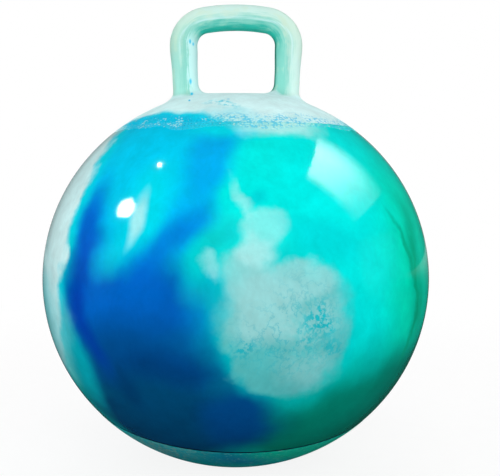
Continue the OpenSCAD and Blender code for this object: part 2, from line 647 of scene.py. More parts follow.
BALL_POURS = (
    # Back and sides, which carry the same colours on round the ball
    Pour(Tint.SKY, 150, 25, 34, 26, 20),
    Pour(Tint.ROYAL, -140, 8, 26, 14, -25),
    ragged(Tint.MIST, 172, -4, 22, 14, 30, 0.25),
    Pour(Tint.SEA_GREEN, 112, 10, 34, 18, -10),
    Pour(Tint.DEEP_WATER, -150, -34, 24, 40, 0),
    Pour(Tint.FOREST, 120, -34, 22, 40, 0),
    ragged(Tint.AQUA, 116, 30, 12, 26, 24, 0.3),
    ragged(Tint.MIST, 118, 4, 13, 17, -35, 0.3),
    cracked(Tint.LAGOON, 118, 4, 12, 14, 0, 0.6, 0.6),
    ragged(Tint.FOAM, 112, 10, 6, 6, 20, 0.6, 0.6),
    Pour(Tint.ROYAL, -172, 22, 26, 6, 28, 0.6),
    Pour(Tint.COBALT, 160, -24, 12, 20, 12, 0.5),
    # Right side, from sea green at the edge to dark green below; the dark green is partly the vinyl's colour
    # and partly painted shade, darker towards the floor
    Pour(Tint.SEA_GREEN, 64, 4, 34, 20, 4, 0.45),
    Pour(Tint.FOREST, 57, -35, 19, 36, 0, 0.4),
    Pour(Tint.FOREST, 30, -42, 14, 26, 0, 0.45),
    Pour(Tint.PINE, 57, 12, 12, 3.5, 2, 0.9, 0.7),
    Pour(Tint.PINE, 60, -4, 8, 3, -8, 0.9, 0.7),
    ragged(Tint.PINE, 53, 12, 9, 1.2, -22, 0.7, 0.8),
    ragged(Tint.PINE, 58, 0, 10, 1.3, -4, 0.7, 0.9),
    ragged(Tint.PINE, 57, -12, 7, 1.2, 12, 0.7, 0.7),
    # Left side: sky blue above, deep water below, with the royal bands between them; the deep water and abyss
    # below are partly the vinyl's colour and partly painted shade
    Pour(Tint.SKY, -32, 44, 24, 23, 0, 0.3),
    Pour(Tint.SKY, -31, 24, 14, 20, 0, 0.4),
    Pour(Tint.AZURE, -8, 38, 15, 6, 14, 0.5),
    Pour(Tint.MARINE, -30, -2, 15, 24, 0, 0.45),
    Pour(Tint.DEEP_WATER, -26, -18, 13, 24, 0, 0.4),
    Pour(Tint.ABYSS, -24, -36, 17, 28, 0, 0.35),
    Pour(Tint.DEEP_WATER, 0, -33, 12, 9, 0, 0.5),
    Pour(Tint.AZURE, -12, 20, 9, 5, 28, 0.7),
    Pour(Tint.ROYAL, -20, 12, 15, 4, 50, 0.8, 0.75),
    Pour(Tint.ROYAL, -42, 15, 14, 5, -8, 0.7),
    Pour(Tint.COBALT, -45, 2, 10, 4, 14, 0.9, 0.7),
    Pour(Tint.COBALT, -42, -9, 9, 3, -22, 0.9, 0.65),
    Pour(Tint.INK, -32, -24, 6, 3, -12, 0.9, 0.45),
    Pour(Tint.INK, -20, -16, 4, 10, 0, 0.9, 0.5),
    Pour(Tint.TEAL, -8, 11, 9, 4, 30, 0.7),
    Pour(Tint.AQUA, -31, 14, 8.5, 4, 41, 0.7, 0.7),
    Pour(Tint.AQUA, -26, 23, 11, 5, 10, 0.7),
    # The cloud and the bright rim that borders it
    Pour(Tint.LAGOON, -3, -6, 10, 4, -16, 0.7),
    Pour(Tint.LAGOON, 2, -17, 8, 3.5, -26, 0.7, 0.8),
    Pour(Tint.TEAL, 14, -6, 20, 18, 0, 0.2, 0.6),
    ragged(Tint.LOW_MIST, 12.5, -8.5, 16.5, 15.5, -8, 0.1),
    ragged(Tint.MIST, 9.5, -2, 8, 12, 0, 0.4, 0.95),
    ragged(Tint.MIST, 2, 6, 6, 5, -10, 0.5, 0.7),
    ragged(Tint.LOW_MIST, 22, -1, 7, 7, 20, 0.5, 0.8),
    ragged(Tint.MIST, 22, -3, 5, 5, 20, 0.7, 0.6),
    ragged(Tint.MIST, 15, 6, 4.5, 10, 0, 0.3, 0.75),
    ragged(Tint.MIST, 18, -17, 5, 7, 10, 0.6, 0.5),
    ragged(Tint.MIST, 4, 12, 5, 4, 10, 0.6, 0.5),
    ragged(Tint.FOAM, 7, 19, 4, 5, 0, 0.35, 0.35),
    ragged(Tint.FOAM, 4, 13, 3.6, 3.2, 0, 0.6, 0.5),
    ragged(Tint.FOAM, 2, 26, 4.5, 1.4, -26, 0.8, 0.4),
    ragged(Tint.FOAM, -6, 9, 2.6, 2, 0, 0.6, 0.35),
    # Small dark and pale pools
    broken(Tint.LAGOON, 21, -4.5, 4.2, 3.4, -44, 0.5, 0.9),
    broken(Tint.LAGOON, 17, -10, 2.4, 2, 40, 0.6, 0.6),
    broken(Tint.LAGOON, 25, -12, 2.2, 2.2, 50, 0.6, 0.6),
    broken(Tint.LAGOON, 2, -11, 3, 2.6, 50, 0.6, 0.8),
    cracked(Tint.LAGOON, 18, -4, 12, 10, 0, 0.6, 0.3),
    cracked(Tint.LAGOON, 9, -9, 8, 10, 0, 0.8, 0.35),
    broken(Tint.TEAL, 20, -8, 9, 8, 0, 0.7, 0.25),
    Pour(Tint.LAGOON, 6, 27, 2.7, 1.7, 37, 0.8, 0.4),
    Pour(Tint.LAGOON, 24, 16, 3.7, 10, 19, 0.8, 0.3),
    Pour(Tint.LAGOON, -1, 17, 5, 2.2, -7, 0.8, 0.3),
    Pour(Tint.FOAM, -28, 20, 6.5, 1.8, 12, 0.6, 0.65),
    Pour(Tint.AQUA, -2, 51, 5, 9, 0, 0.6),
    ragged(Tint.FOAM, 19, 51, 5.5, 10, -2, 0.4, 0.75),
    # The pale left edge: partly pale vinyl and partly a painted reflection of the white surroundings at the
    # grazing edge
    Pour(Tint.LAGOON, -52, -18, 14, 5, -6, 0.7, 0.9),
    Pour(Tint.AQUA, -95, 10, 48.5, 42, 8, 0.06),
    ragged(Tint.SHELL, -95, 10, 46, 39, 8, 0.05),
    ragged(Tint.PALE_SEA, -84, -10, 19, 25, 0, 0.4),
    # Pools on the left side, out of sight from the front
    ragged(Tint.AQUA, -116, 24, 30, 15, 14, 0.3),
    Pour(Tint.SKY, -120, 18, 34, 13, 10, 0.35),
    Pour(Tint.ROYAL, -122, -14, 26, 8, -24, 0.5),
    ragged(Tint.TEAL, -104, -34, 12, 18, 0, 0.5),
    ragged(Tint.AQUA, -93, 2, 14, 3.4, -30, 0.6, 0.7),
    cracked(Tint.LAGOON, -99, -12, 12, 9, 20, 0.6, 0.5),
)

CROWN_POURS = (
    ragged(Tint.AQUA, -34, 53, 6.5, 24, 3, 0.3),
    ragged(Tint.SKY, -34, 52, 5.5, 23, 3, 0.35),
    ragged(Tint.AQUA, -6, 57, 3, 9, 10, 0.8, 0.35),
    ragged(Tint.AQUA, 20, 53, 2.5, 30, 0, 0.8, 0.2),
    broken(Tint.AQUA, -9, 63, 1.6, 4, 30, 0.8, 0.7),
    ragged(Tint.AQUA, 160, 54, 6, 40, 0, 0.4),
    ragged(Tint.AQUA, 90, 53, 4, 22, 0, 0.6, 0.5),
)

BASE_POURS = (
    ragged(Tint.MARINE, 0, -53, 5, 8, 0, 0.8, 0.7),
    Pour(Tint.SEA_GREEN, 34, -52, 7, 22, 0, 0.6),
    Pour(Tint.LAGOON, -30, -52, 7, 14, 0, 0.8),
    broken(Tint.SAND, -55, -54, 6, 20, 0, 0.8, 0.6),
    Pour(Tint.MARINE, -160, -58, 10, 30, 0, 0.7),
    Pour(Tint.SEA_GREEN, 100, -60, 12, 30, 0, 0.7),
    ragged(Tint.MARINE, 0, -90, 12, 16, 20, 0.8, 0.7),
)


@dataclass(frozen=True)
class ShoulderBand:
    """The strip of fine raised dots along the shoulder, with pigment in the pits between them and painted
    highlights on some of the dots.

    Attributes:
        low: Height of its lower edge.
        high: Height of its upper edge.
        low_fade: Width over which it begins.
        high_fade: Half the width over which it fades out upwards.
        waver: How far noise pushes its edges about.
        waver_scale: Waves of that noise in a metre.
        pitch: Distance between dots.
        scatter: How far the dots stray from even rows.
        depth: Height of a dot.
        pit_share: How much of a pit's colour is pigment.
        top_share: How much of a dot's colour is its painted highlight.
        patch_scale: Noise waves in a metre of the patches with more pigment or more pale dots.
    """

    low: float = 0.3835
    high: float = 0.398
    low_fade: float = 0.0015
    high_fade: float = 0.004
    waver: float = 0.012
    waver_scale: float = 25.0
    pitch: float = 0.003
    scatter: float = 0.7
    depth: float = 0.0005
    pit_share: float = 0.7
    top_share: float = 0.8
    patch_scale: float = 130.0

    def laid(self, graph: Graph, place: Value, colour: Value) -> tuple[Value, Value, Value]:
        """Lays the strip over a colour: pigment in some of the pits and painted highlights, pale, on the
        crests of some of the dots.

        Args:
            graph: The finish's nodes.
            place: Object coordinates.
            colour: The colour under the strip.

        Returns:
            The colour with the strip on it, where the strip lies, and the height of its dots.
        """
        height = graph.warped(place, self.waver_scale, self.waver).part("Z")
        cover = height.step(self.low, self.low + self.low_fade)
        cover = cover * height.step(self.high + self.high_fade, self.high - self.high_fade)
        dots = graph.cells(place, 1.0 / self.pitch, self.scatter)
        picked = graph.noise(place, self.patch_scale)
        pits = cover * dots.step(0.45, 0.6) * picked.step(0.64, 0.47) * self.pit_share
        # Painted highlights: pale on the crests of the dots, in some patches of the strip.
        dot_highlights = cover * dots.step(0.5, 0.3) * picked.step(0.5, 0.6) * self.top_share
        tinted = graph.blend(graph.blend(colour, Tint.PIT.linear, pits), Tint.FOAM.linear, dot_highlights)
        return tinted, cover, cover * dots.step(0.6, 0.2) * self.depth


@dataclass(frozen=True)
class MouldLine:
    """The moulding line near the floor: where the ball meets the plane z = height + right * x + back * y, and
    where the groove's shade is painted as a dark line.

    Attributes:
        height: Height of the plane at the ball's axis.
        right: Its slope to the right.
        back: Its slope to the back.
        reach: Half the width of the dark line of painted shade along the groove.
    """

    height: float
    right: float = -0.03
    back: float = 0.17
    reach: float = 0.0014

    def radius(self, ball: "BallForm", turn: Array) -> Array:
        """Radius of the line, the larger root r of the ball's ellipse cut by the plane.

        With k the plane's slope along the turn, d its depth below the ball's middle, h and w the half height
        and half width: (k^2 / h^2 + 1 / w^2) r^2 - 2 (d k / h^2) r + d^2 / h^2 - 1 = 0.

        Args:
            ball: The ball's face.
            turn: Angles about Z, from the right towards the back.

        Returns:
            The radius at each turn.
        """
        slope = (self.right * np.cos(turn) + self.back * np.sin(turn)) / ball.half_height
        depth = (ball.middle[2] - self.height) / ball.half_height
        square = slope ** 2 + 1.0 / ball.radius ** 2
        return (depth * slope + np.sqrt((depth * slope) ** 2 - square * (depth ** 2 - 1.0))) / square

    def drawn(self, graph: Graph, place: Value, colour: Value) -> Value:
        """A colour with the groove's shade painted over it as a dark line."""
        above = place.part("Z") - self.right * place.part("X") - self.back * place.part("Y") - self.height
        # Painted shade: a dark line where the groove at the moulding line lies.
        return graph.blend(colour, Tint.GROOVE_SHADE.linear, abs(above).step(self.reach, self.reach / 2.0))


class Finish:
    """A material of one surface shader, whose sockets each kind of finish fills in its own way."""

    name: str

    def sockets(self, graph: Graph, place: Value) -> dict:
        """The shader's sockets, from nodes added to the graph and from Object coordinates."""
        raise NotImplementedError

    def material(self) -> bpy.types.Material:
        """The finished material."""
        made, graph = Graph.material(self.name)
        graph.show(graph.node("ShaderNodeBsdfPrincipled", {}, self.sockets(graph, graph.place()), "BSDF"))
        return made


@dataclass(frozen=True)
class GlossVinyl(Finish):
    """The ball's finish: marbled vinyl with a wet shine and faint orange peel.

    Attributes:
        name: The material's name.
        marbling: The colours.
        band: The dotted strip, whose lower edge lies on the ball.
        line: The moulding line, where the groove's shade is painted.
        roughness: Blur of the reflections.
        smears: How much more blur there is in places.
        smear_scale: Noise waves of those places in a metre.
        band_roughness: How much more blur the strip has.
        shine: Strength of the reflections.
        peel_scale: Orange peel's waves in a metre.
        peel_depth: Orange peel's depth.
    """

    name: str
    marbling: Marbling
    band: ShoulderBand
    line: MouldLine
    roughness: float = 0.04
    smears: float = 0.04
    smear_scale: float = 40.0
    band_roughness: float = 0.35
    shine: float = 0.25
    peel_scale: float = 260.0
    peel_depth: float = 0.00005

    def sockets(self, graph: Graph, place: Value) -> dict:
        """The marbled colour with the strip and the groove's painted shade on it, over orange peel."""
        colour, cover, dots = self.band.laid(graph, place, self.marbling.colour(graph))
        blur = self.roughness + self.smears * graph.noise(place, self.smear_scale)
        return {
            "Base Color": self.line.drawn(graph, place, colour),
            "Roughness": blur + self.band_roughness * cover,
            "Specular IOR Level": self.shine,
            "Normal": graph.bump(graph.noise(place, self.peel_scale) * self.peel_depth + dots),
        }


@dataclass(frozen=True)
class BaseVinyl(Finish):
    """The base's finish: mottled vinyl with a dull, scuffed shine.

    Attributes:
        name: The material's name.
        marbling: The colours.
        line: The moulding line, where the groove's shade is painted.
        pale_share: How much of a pale speck's colour is pale.
        dark_share: How much of a dark speck's colour is dark.
        roughness: Blur of the reflections, and how much more there is on the grain.
        shine: Strength of the reflections.
        grain_scale: Noise waves of the grain in a metre.
        grain_depth: Depth of the grain.
    """

    name: str
    marbling: Marbling
    line: MouldLine
    pale_share: float = 0.4
    dark_share: float = 0.3
    roughness: float = 0.3
    shine: float = 0.25
    grain_scale: float = 240.0
    grain_depth: float = 0.0003

    def sockets(self, graph: Graph, place: Value) -> dict:
        """The marbled colour with pale and dark specks and the groove's painted shade on it, over a coarse
        grain.
        """
        grain = graph.noise(place, self.grain_scale, detail=4.0, rough=0.65)
        pale, dark = grain.step(0.52, 0.72) * self.pale_share, grain.step(0.44, 0.3) * self.dark_share
        colour = graph.blend(self.marbling.colour(graph), Tint.FOAM.linear, pale)
        colour = graph.blend(colour, Tint.ABYSS.linear, dark)
        return {
            "Base Color": self.line.drawn(graph, place, colour),
            "Roughness": self.roughness + self.roughness * grain,
            "Specular IOR Level": self.shine,
            "Normal": graph.bump(grain * self.grain_depth),
        }


@dataclass(frozen=True)
class Drip:
    """A small run of pigment on the front of the handle or the crown.

    Attributes:
        across: Place in X.
        height: Place in Z.
        width: Half its width.
        length: Half its length.
        reach: Half its depth, from the handle's middle plane forwards.
    """

    across: float
    height: float
    width: float
    length: float
    reach: float = 0.045

    def mask(self, graph: Graph, place: Value) -> Value:
        """Where the drip lies: an upright oval in front of the handle's middle plane."""
        middle, size = (self.across, -self.reach, self.height), (self.width, self.reach, self.length)
        return graph.oval(place, middle, (0.0, 0.0, 0.0), size, border=(1.3, 0.6))


DRIPS = (
    Drip(-0.0531, 0.4895, 0.0016, 0.0036),
    Drip(-0.0497, 0.4870, 0.0015, 0.0030),
    Drip(-0.0528, 0.4440, 0.0019, 0.0046),
    Drip(-0.0512, 0.4293, 0.0020, 0.0024),
    Drip(-0.0512, 0.4170, 0.0015, 0.0016),
    Drip(-0.0085, 0.4170, 0.0030, 0.0016),
    Drip(-0.0145, 0.4150, 0.0040, 0.0012),
)


@dataclass(frozen=True)
class PaleVinyl(Finish):
    """The finish of crown and handle: pale matte vinyl that turns mint up the legs, with painted light on the
    handle's top and right-facing sides and painted shade, teal, under the bar and on the right leg's inner
    side.

    Attributes:
        name: The material's name.
        marbling: The crown's colours.
        band: The dotted strip, whose upper part lies on the crown.
        saddle: Height of the saddle between the legs.
        bar_half: Distance along the handle from its middle at which the corners begin.
        corner: The same to the middle of a corner.
        leg_start: The same to the start of a leg.
        rib_pitch: Distance between the fine ribs across the legs.
        rib_height: Half the height of those ribs.
        roughness: Blur of the reflections.
        shine: Strength of the reflections.
        grain_scale: Noise waves of the matte grain in a metre.
        grain_depth: Depth of that grain.
    """

    name: str
    marbling: Marbling
    band: ShoulderBand
    saddle: float
    bar_half: float = 0.045
    corner: float = 0.065
    leg_start: float = 0.08
    rib_pitch: float = 0.0018
    rib_height: float = 0.0001
    roughness: float = 0.4
    shine: float = 0.04
    grain_scale: float = 420.0
    grain_depth: float = 0.00012

    def grip_colour(self, graph: Graph) -> Value:
        """The handle's colour by its place along and round the centre line, with painted light and shade:
        pale where light falls from above and the right, teal where shade falls under the bar and inside the
        right leg.
        """
        grip = graph.attribute("grip")
        along, around = grip.part("X"), grip.part("Y")
        streaks = graph.noise(graph.vector("MULTIPLY", grip, (24.0, 8.0, 8.0)), 1.0, detail=5.0, rough=0.65)
        blotches = graph.noise(graph.vector("MULTIPLY", grip, (60.0, 1.6, 1.6)), 1.0, detail=3.0)
        outward = around + 1.3 * (streaks - 0.5) + 0.8 * (blotches - 0.5)
        left, right = along.step(-self.bar_half, -self.leg_start), along.step(self.bar_half, self.leg_start)
        corners = abs(abs(along) - self.corner).step(0.04, 0.005) * outward.step(-0.6, 0.5)
        inside = outward.step(-0.3, -0.9) * along.step(-0.085, -self.bar_half) * along.step(0.1, 0.06)
        layers = (
            # Painted light: pale on the outside of the loop, less on the left leg's left-facing side
            (Tint.PALE_MINT, outward.step(-0.4, 0.5) * (1.0 - 0.7 * left)),
            # Painted highlights on the corners' outer sides, among straw blotches of the vinyl's own
            (Tint.STRAW, (corners + blotches.step(0.5, 0.7)) * 0.32),
            # Painted shade under the bar
            (Tint.JADE, inside),
            # Painted light on the left leg's right-facing inner side
            (Tint.CROWN, left * outward.step(-0.25, -0.45) * 0.75),
            # Painted shade on the right leg's left-facing inner side
            (Tint.DEEP_TEAL, right * around.step(-0.86, -0.97)),
            # Painted highlight along the moulded bead
            (Tint.SHELL, graph.attribute("bead").part("X") * streaks.step(0.3, 0.6) * 0.7),
        )
        colour: Plug = Tint.MINT.linear
        for tint, share in layers:
            colour = graph.blend(colour, tint.linear, share)
        return colour

    def ribs(self, graph: Graph) -> Value:
        """Height of the fine ribs across the legs, inside their bead."""
        grip = graph.attribute("grip")
        along, outward = grip.part("X"), grip.part("Y")
        turns = along * (2.0 * math.pi / self.rib_pitch)
        wave = graph.node("ShaderNodeMath", {"operation": "SINE"}, {0: turns})
        legs = abs(along).step(self.corner, self.leg_start) * abs(along).step(0.135, 0.115)
        return wave * legs * abs(outward - 0.05).step(0.2, 0.1) * self.rib_height

    def sockets(self, graph: Graph, place: Value) -> dict:
        """The crown's colour, which turns into the handle's colour with its painted light and shade at the
        saddle, and drips, over a matte grain.
        """
        crown, _, dots = self.band.laid(graph, place, self.marbling.colour(graph))
        spread = graph.attribute("grip").part("Y").step(-0.8, -0.2)
        height = place.part("Z") + 0.005 * (graph.noise(place, 60.0, detail=3.0) - 0.5) + 0.006 * spread
        share = height.step(self.saddle - 0.0025, self.saddle + 0.002)
        colour = graph.blend(crown, self.grip_colour(graph), share)
        for drip in DRIPS:
            colour = graph.blend(colour, Tint.SKY.linear, drip.mask(graph, place))
        grain = graph.noise(place, self.grain_scale, detail=3.0)
        return {
            "Base Color": colour,
            "Roughness": self.roughness + self.roughness / 2.0 * grain,
            "Specular IOR Level": self.shine,
            "Normal": graph.bump(grain * self.grain_depth + dots + self.ribs(graph)),
        }


@dataclass(frozen=True)
class PlainPlastic(Finish):
    """A moulded plastic or vinyl of one colour with faint cloudiness.

    Attributes:
        name: The material's name.
        tint: The main colour.
        shade: The colour of the clouds.
        roughness: Blur of the reflections.
        cloudiness: How much of a cloud's colour is the shade.
        cloud_roughness: How much more blur a cloud has.
        cloud_scale: Noise waves of the clouds in a metre.
        grain_scale: The same of the fine grain.
        grain_depth: Depth of the fine grain.
    """

    name: str
    tint: Tint
    shade: Tint
    roughness: float
    cloudiness: float = 0.5
    cloud_roughness: float = 0.15
    cloud_scale: float = 160.0
    grain_scale: float = 900.0
    grain_depth: float = 0.00003

    def sockets(self, graph: Graph, place: Value) -> dict:
        """The colour with faint clouds, over a fine grain."""
        clouds = graph.noise(place, self.cloud_scale, detail=3.0).step(0.4, 0.7)
        return {
            "Base Color": graph.blend(self.tint.linear, self.shade.linear, clouds * self.cloudiness),
            "Roughness": self.roughness + self.cloud_roughness * clouds,
            "Normal": graph.bump(graph.noise(place, self.grain_scale) * self.grain_depth),
        }


# The forms that the pieces share


@dataclass(frozen=True)
class ValvePlace:
    """Where the valve sits: the middle of the plug's head on the ball's face, and the way out."""

    point: Array
    axis: Array

    @staticmethod
    def from_frame() -> "ValvePlace":
        """Reads the axis from the plug's joint and the place from the top of the plug's node."""
        axis = np.array(frame["joints"][0]["axis"], float)
        node = frame["nodes"]["valve_plug"].data.vertices
        points = np.zeros(len(node) * 3)
        node.foreach_get("co", points)
        points = points.reshape(-1, 3)
        reach = points @ axis
        top = points[reach > reach.max() - 1e-5]
        return ValvePlace((top.min(axis=0) + top.max(axis=0)) / 2.0, unit(axis))

    def sides(self) -> tuple[Array, Array]:
        """Two ways across the axis: along X, and from the pole downwards."""
        across = np.array([1.0, 0.0, 0.0])
        return across, np.cross(across, self.axis)

    def away(self, points: Array) -> Array:
        """Distances from the axis."""
        offset = points - self.point
        return np.linalg.norm(offset - (offset @ self.axis)[..., None] * self.axis, axis=-1)


@dataclass(frozen=True)
class BallForm:
    """The ball's outer face: an upright ellipse turned about Z.

    Attributes:
        radius: Half the width at the equator.
        top: Height of the top, before the saddle.
        rest_radius: Radius of the flat patch on the floor.
    """

    radius: float
    top: float
    rest_radius: float

    @property
    def half_height(self) -> float:
        """Half of the ellipse's height, such that it meets the floor at the patch's edge."""
        return self.top / (1.0 + math.sqrt(1.0 - (self.rest_radius / self.radius) ** 2))

    @property
    def middle(self) -> Array:
        """The middle of the ellipse."""
        return np.array([0.0, 0.0, self.top - self.half_height])

    @property
    def scale(self) -> Array:
        """The half axes along X, Y and Z."""
        return np.array([self.radius, self.radius, self.half_height])

    def at(self, turn: Array, polar: Array) -> Array:
        """The point at a turn about Z and an angle from the top: middle + half axes * unit sphere."""
        ring = np.sin(polar)
        sphere = np.stack([np.cos(turn) * ring, np.sin(turn) * ring, np.cos(polar) + 0.0 * turn], axis=-1)
        return self.middle + self.scale * sphere

    def over(self, plan: Array, side: float) -> Array:
        """The points of the upper (side 1) or lower (side -1) face over plan points."""
        rise = np.sqrt(np.maximum(1.0 - (plan ** 2).sum(axis=-1) / self.radius ** 2, 0.0))
        return np.concatenate([plan, (self.middle[2] + side * self.half_height * rise)[..., None]], axis=-1)

    def distance(self, points: Array) -> Array:
        """Distance outside the face, to first order: (q - 1) / |grad q| with q the ellipse's size."""
        local = (points - self.middle) / self.scale
        size = np.linalg.norm(local, axis=-1)
        return (size - 1.0) * size / np.linalg.norm(local / self.scale, axis=-1)

    def outward(self, points: Array) -> Array:
        """Unit normals of the face near points."""
        return unit((points - self.middle) / self.scale ** 2)


@dataclass(frozen=True)
class LoopForm:
    """The grip's centre line: two leaning legs, two corners and an arched bar, each tangent to the next.

    Attributes:
        saddle: Height of the saddle between the legs.
        top: Height of the top of the handle.
        grip_radius: Distance of the bar's centre line from the top.
        bar_radius: Radius of the bar.
        corner_fullness: Radius of the tube where the corners become the legs.
        leg_radius: Radius of the legs at the saddle.
        leg_spacing: Distance between the legs' centres at the saddle.
        leg_lean: Outward lean of each leg, in degrees.
        corner_radius: Radius of the corners along the centre line.
        arch_radius: Radius of the arched bar along the centre line.
        leg_even: Height above the saddle below which a leg's radius stays the same.
    """

    saddle: float
    top: float
    grip_radius: float = 0.0155
    bar_radius: float = 0.015
    corner_fullness: float = 0.0161
    leg_radius: float = 0.0149
    leg_spacing: float = 0.118
    leg_lean: float = 2.7
    corner_radius: float = 0.03
    arch_radius: float = 0.22
    leg_even: float = 0.02

    @property
    def leg_way(self) -> Array:
        """The right leg's upward direction, in X and Z."""
        lean = math.radians(self.leg_lean)
        return np.array([math.sin(lean), math.cos(lean)])

    @property
    def leg_side(self) -> Array:
        """The way outwards across the right leg, in X and Z."""
        return np.array([self.leg_way[1], -self.leg_way[0]])

    @property
    def foot(self) -> Array:
        """The right leg's centre at the saddle, in X and Z."""
        return np.array([self.leg_spacing / 2.0, self.saddle])

    @property
    def arch_middle(self) -> Array:
        """The arch's centre, in X and Z."""
        return np.array([0.0, self.top - self.grip_radius - self.arch_radius])

    @property
    def leg_length(self) -> float:
        """Length of the leg, where a corner tangent to it is also tangent inside the arch."""
        start = self.foot - self.corner_radius * self.leg_side - self.arch_middle
        along = float(start @ self.leg_way)
        reach = self.arch_radius - self.corner_radius
        return math.sqrt(along ** 2 - float(start @ start) + reach ** 2) - along

    @property
    def corner_middle(self) -> Array:
        """The right corner's centre, in X and Z."""
        return self.foot - self.corner_radius * self.leg_side + self.leg_length * self.leg_way

    @property
    def arch_half(self) -> float:
        """Half the arch's angle."""
        across, up = self.corner_middle - self.arch_middle
        return math.atan2(across, up)

    @property
    def corner_end(self) -> float:
        """The angle from upright at which the corner becomes the leg."""
        return math.pi / 2.0 + math.radians(self.leg_lean)

    def half_path(self, start: float, spacing: float) -> tuple[Array, Array, Array]:
        """The right half of the centre line, from the middle of the bar down to a height on the leg.

        Args:
            start: Distance along the leg from the saddle at which the path ends.
            spacing: Distance between points.

        Returns:
            Points and outward normals in X and Z, and distances from the middle of the bar.
        """
        arch = np.linspace(0.0, self.arch_half, round(self.arch_radius * self.arch_half / spacing) + 1)
        count = round(self.corner_radius * (self.corner_end - self.arch_half) / spacing)
        corner = np.linspace(self.arch_half, self.corner_end, count + 1)[1:]
        leg = np.linspace(self.leg_length, start, round((self.leg_length - start) / spacing) + 1)[1:]
        leg = np.insert(leg, -1, start + spacing / 20.0)
        arch_out = np.stack([np.sin(arch), np.cos(arch)], axis=-1)
        corner_out = np.stack([np.sin(corner), np.cos(corner)], axis=-1)
        leg_out = np.tile(corner_out[-1], (len(leg), 1))
        points = np.concatenate([
            self.arch_middle + self.arch_radius * arch_out,
            self.corner_middle + self.corner_radius * corner_out,
            self.foot + leg[:, None] * self.leg_way,
        ])
        steps = np.linalg.norm(np.diff(points, axis=0), axis=-1)
        along = np.concatenate([[0.0], np.cumsum(steps)])
        return points, np.concatenate([arch_out, corner_out, leg_out]), along

    @property
    def half_length(self) -> float:
        """Length of the centre line from the middle of the bar to the saddle."""
        corner = self.corner_radius * (self.corner_end - self.arch_half)
        return self.arch_radius * self.arch_half + corner + self.leg_length

    def radius_at(self, along: Array) -> Array:
        """The tube's radius by distance from the middle of the bar, eased: fullest where the legs start."""
        corner = self.arch_radius * self.arch_half
        leg = self.half_length - self.leg_length
        full = smooth_step(along, corner, leg)
        spare = smooth_step(along, leg, self.half_length - self.leg_even)
        return (self.bar_radius + (self.corner_fullness - self.bar_radius) * full
                - (self.corner_fullness - self.leg_radius) * spare)

    def leg_places(self, points: Array) -> Array:
        """Places round the legs, as the handle stores them.

        Args:
            points: Places on the crown.

        Returns:
            Rows of the distance along the centre line from the middle of the bar, minus on the left leg, and
            of how far outwards and backwards from the leg's middle the point lies, as a unit vector.
        """
        flat = np.stack([np.abs(points[:, 0]), points[:, 2]], axis=-1) - self.foot
        around = unit(np.stack([flat @ self.leg_side, points[:, 1]], axis=-1))
        return np.column_stack([np.sign(points[:, 0]) * (self.half_length - flat @ self.leg_way), around])

    def leg_distance(self, points: Array) -> Array:
        """Distance outside the legs, which run on straight down into the ball."""
        flat = np.stack([np.abs(points[..., 0]), points[..., 2]], axis=-1) - self.foot
        along = np.minimum(flat @ self.leg_way, self.leg_length)
        off = flat - along[..., None] * self.leg_way
        return np.sqrt((off ** 2).sum(axis=-1) + points[..., 1] ** 2) - self.leg_radius


@dataclass(frozen=True)
class CrownForm:
    """The ball's top with the saddle and the legs grown into it by round fillets.

    Attributes:
        ball: The ball's face.
        loop: The handle's centre line.
        saddle_drop: Depth of the saddle below the top of the crown's solid.
        saddle_fall: Slope of the saddle towards front and back.
        saddle_round: Half the width over which those two slopes round into each other.
        saddle_radius: Radius of the low ridge that fills the saddle between the legs.
        saddle_half: Half the length of that ridge.
        saddle_fillet: Reach of the fillet between the ridge and the ball.
        root_fillet: Reach of a root's fillet up the leg.
        root_spread: How many times further the fillet reaches over the crown, on the legs' outer sides.
        hollow_fillet: Reach of the fillet between the legs, both up the leg and over the saddle.
    """

    ball: BallForm
    loop: LoopForm
    saddle_drop: float = 0.003
    saddle_fall: float = 0.11
    saddle_round: float = 0.012
    saddle_radius: float = 0.04
    saddle_half: float = 0.04
    saddle_fillet: float = 0.004
    root_fillet: float = 0.0105
    root_spread: float = 2.2
    hollow_fillet: float = 0.013

    def distance(self, points: Array) -> Array:
        """Distance outside the joined form: the ball cut off at the saddle, softly joined to ridge and legs.

        The cut is a low roof whose height above the saddle is -fall * (sqrt(y^2 + round^2) - round).

        Args:
            points: Places near the crown.

        Returns:
            The distances, shrunk outside the legs by the fillet's spread.
        """
        reach = np.clip(points[..., 0], -self.saddle_half, self.saddle_half)
        above = points[..., 2] - (self.loop.saddle - self.saddle_drop)
        depth = above + self.saddle_radius
        ridge = np.sqrt((points[..., 0] - reach) ** 2 + points[..., 1] ** 2 + depth ** 2) - self.saddle_radius
        fall = self.saddle_fall * (np.hypot(points[..., 1], self.saddle_round) - self.saddle_round)
        cut = -soft_min(-self.ball.distance(points), -above - fall, self.saddle_fillet)
        crown = soft_min(cut, ridge, self.saddle_fillet)
        foot, half = self.loop.foot[0], self.loop.leg_radius / 2.0
        outside = smooth_step(np.abs(points[..., 0]), foot - half, foot + half)
        spread = 1.0 + (self.root_spread - 1.0) * outside
        fillet = self.hollow_fillet + (self.root_fillet - self.hollow_fillet) * outside
        return soft_min(crown, self.loop.leg_distance(points) / spread, fillet)

    def settle(self, points: Array, rounds: int = 10, nudge: float = 1e-5) -> Array:
        """Moves points onto the form by Newton steps along the distance's own slope.

        Args:
            points: Places near the form.
            rounds: Number of steps.
            nudge: Half the distance over which the slope is measured.

        Returns:
            The same points on the form.
        """
        shifts = nudge * np.eye(3)
        for _ in range(rounds):
            slopes = [self.distance(points + shift) - self.distance(points - shift) for shift in shifts]
            slope = np.stack(slopes, axis=-1) / (2.0 * nudge)
            points = points - (self.distance(points) / (slope ** 2).sum(axis=-1))[..., None] * slope
        return points


# The pieces


# Distances of the last rows of points from the moulding line, as shares of the roll's reach
ROLL_ROWS = np.linspace(1.0, 0.0, 9)[1:] ** 2


